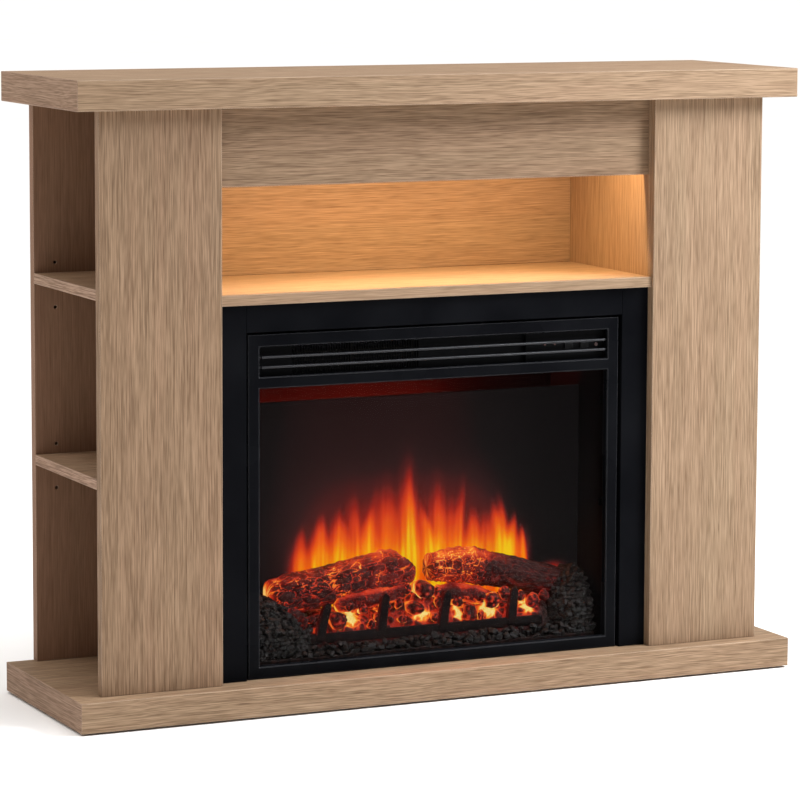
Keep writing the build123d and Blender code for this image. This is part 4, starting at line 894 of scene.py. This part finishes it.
def make_grate():
    """A cast grate: a round-edged bar with four stout fingers that lean and taper to rounded tips."""
    low, high = (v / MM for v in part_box("fire_grate"))
    verts, faces, glow = [], [], []

    def loft(sections):
        """Joins superellipse sections, each (centre, across, half width, half depth). The rear faces and the
        fingers' left flanks catch the fire's light."""
        first = len(verts)
        for centre, across, half, deep in sections:
            for k in range(GRATE_SIDES):
                a = 2 * math.pi * k / GRATE_SIDES
                c, s = math.cos(a), math.sin(a)
                wide = half * math.copysign(abs(c) ** 0.55, c)
                thick = deep * math.copysign(abs(s) ** 0.55, s)
                point = centre + across * wide + Vector((0, thick, 0))
                point += noise.noise_vector(point / 3.2) * 0.18
                verts.append(point)
                rear = float(smooth(s, 0.1, 0.9))
                flank = float(smooth(-wide, 0.5 * half, half)) if across.z == 0 else 0.0
                near_fire = min(1.0, 0.25 + heat_at(point.x, max(point.z, 100)))
                glow.append((rear * 0.55 + flank * 0.30) * near_fire if point.z > 92 else 0.0)
        faces.extend(grid_faces(len(sections), GRATE_SIDES, wrap=True, first=first))

    middle = (low.y + high.y) / 2
    upward = Vector((0, 0, 1))
    stations = [low.x + t * (high.x - low.x) for t in np.linspace(0, 1, BAR_STATIONS)]
    halves = [BAR_END_HALF] + [BAR_HALF] * (BAR_STATIONS - 2) + [BAR_END_HALF]
    loft([(Vector((x, middle, BAR_LEVEL)), upward, half, BAR_DEEP) for x, half in zip(stations, halves)])
    for foot, tip_x, tip_z in FINGERS:
        sections = []
        for t in np.linspace(0, 1, FINGER_STATIONS):
            level = FINGER_FOOT + (tip_z - FINGER_FOOT) * t
            centre = Vector((foot + (tip_x - foot) * t ** 1.4, middle + 1.0, level))
            cap = math.sqrt(max(1 - max((t - 0.84) / 0.16, 0) ** 2, 0.003))
            half = (FINGER_HALF - FINGER_TAPER * t) * cap
            sections.append((centre, Vector((1, 0, 0)), half, FINGER_DEEP * cap))
        loft(sections)
    m = Material("cast_iron")
    place = m.place()
    cast = m.noise(place, 900, detail=3, roughness=0.6)
    rust = m.noise(place, 70, detail=3)
    base = m.mix(m.remap(rust, 0.45, 0.7), (0.005, 0.003, 0.003), (0.014, 0.006, 0.005))
    m.principled(base, m.remap(cast, 0.3, 0.7, 0.5, 0.75), normal=m.bump(cast, 0.0005, 0.8), specular=0.08,
                 glow=m.ramp(m.attribute("glow"), GLOW_STOPS), glow_strength=0.8)
    m.material.cycles.emission_sampling = "NONE"
    grate = piece("cast_grate", "black_steel", verts, faces, m.material, glow=glow)
    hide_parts("fire_grate")


def make_glass():
    """Clear toughened glass: barely tinted, with a weak gloss that grows at a slant."""
    m = Material("clear_glass")
    haze = m.noise(m.place(), 16, detail=3)
    clear = m.node("BsdfTransparent")
    m.feed(clear.inputs["Color"], m.ramp(haze, [(0.3, (0.88, 0.88, 0.88)), (0.7, (0.92, 0.92, 0.92))]))
    gloss = m.node("BsdfGlossy")
    m.feed(gloss.inputs["Roughness"], m.remap(haze, 0.3, 0.7, 0.02, 0.05))
    slant = m.node("Fresnel")
    slant.inputs["IOR"].default_value = 1.07
    both = m.node("MixShader")
    m.feed(both.inputs[0], slant.outputs[0])
    m.tree.links.new(clear.outputs[0], both.inputs[1])
    m.tree.links.new(gloss.outputs[0], both.inputs[2])
    m.tree.links.new(both.outputs[0], m.output.inputs["Surface"])
    dress(m.material, "front_glass")


GAP_SHADE_Y = (-91.2, -87.0)       # front and back
GAP_SHADE_X = (285.5, 308.0)       # inner and outer edge of a side strip
GAP_SHADE_Z = (528.5, 548.0)       # lower and upper edge of the strip over the bezel


def make_gap_shade():
    """Black strips behind the gap between the bezel and the surround, so that no daylight shows there; their
    black is painted shade, standing in for the shadow in the gap.
    """
    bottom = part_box("insert_bezel")[0].z / MM
    (front, back), (inner, outer), (low, high) = GAP_SHADE_Y, GAP_SHADE_X, GAP_SHADE_Z
    boxes = [(-outer, -inner, bottom, low), (inner, outer, bottom, low), (-outer, outer, low, high)]
    verts, faces = [], []
    for left, right, under, over in boxes:
        n = len(verts)
        corners = ((left, front), (right, front), (right, back), (left, back))
        verts += [(x, y, z) for z in (under, over) for x, y in corners]
        faces += [(n, n + 3, n + 2, n + 1), (n + 4, n + 5, n + 6, n + 7)]
        faces += [(n + k, n + (k + 1) % 4, n + 4 + (k + 1) % 4, n + 4 + k) for k in range(4)]
    # painted shade: the strips are near black so that the gap reads as shadow
    gap_black = moulded("gap_shade_black", (0.004, 0.004, 0.0045), 0.85, grain=600, specular=0.05)
    piece("gap_shade_strips", "black_plastic", verts, faces, gap_black, shade_smooth=False)


FIRE_RED, FIRE_ORANGE = (1.0, 0.05, 0.025), (1.0, 0.28, 0.07)


def light_fire():
    """Two lamps for the light the fire throws: a red wash above the screen, and one on the logs' tops."""
    area_light("red_wash", (-0.055, 0.040, 0.345), (-0.055, 0.085, 0.445), (0.33, 0.03), 2.9, FIRE_RED)
    area_light("flame_light", (0, -0.014, 0.245), (0, -0.055, 0.12), (0.34, 0.08), 0.9, FIRE_ORANGE)


scene.view_settings.view_transform = "Standard"
make_camera()
make_lights()
make_floor()
dress_wood()
dress_metal()
light_niche()
make_flame_picture()
make_logs()
make_bed()
make_coals()
make_embers()
make_grate()
make_glass()
make_gap_shade()
light_fire()
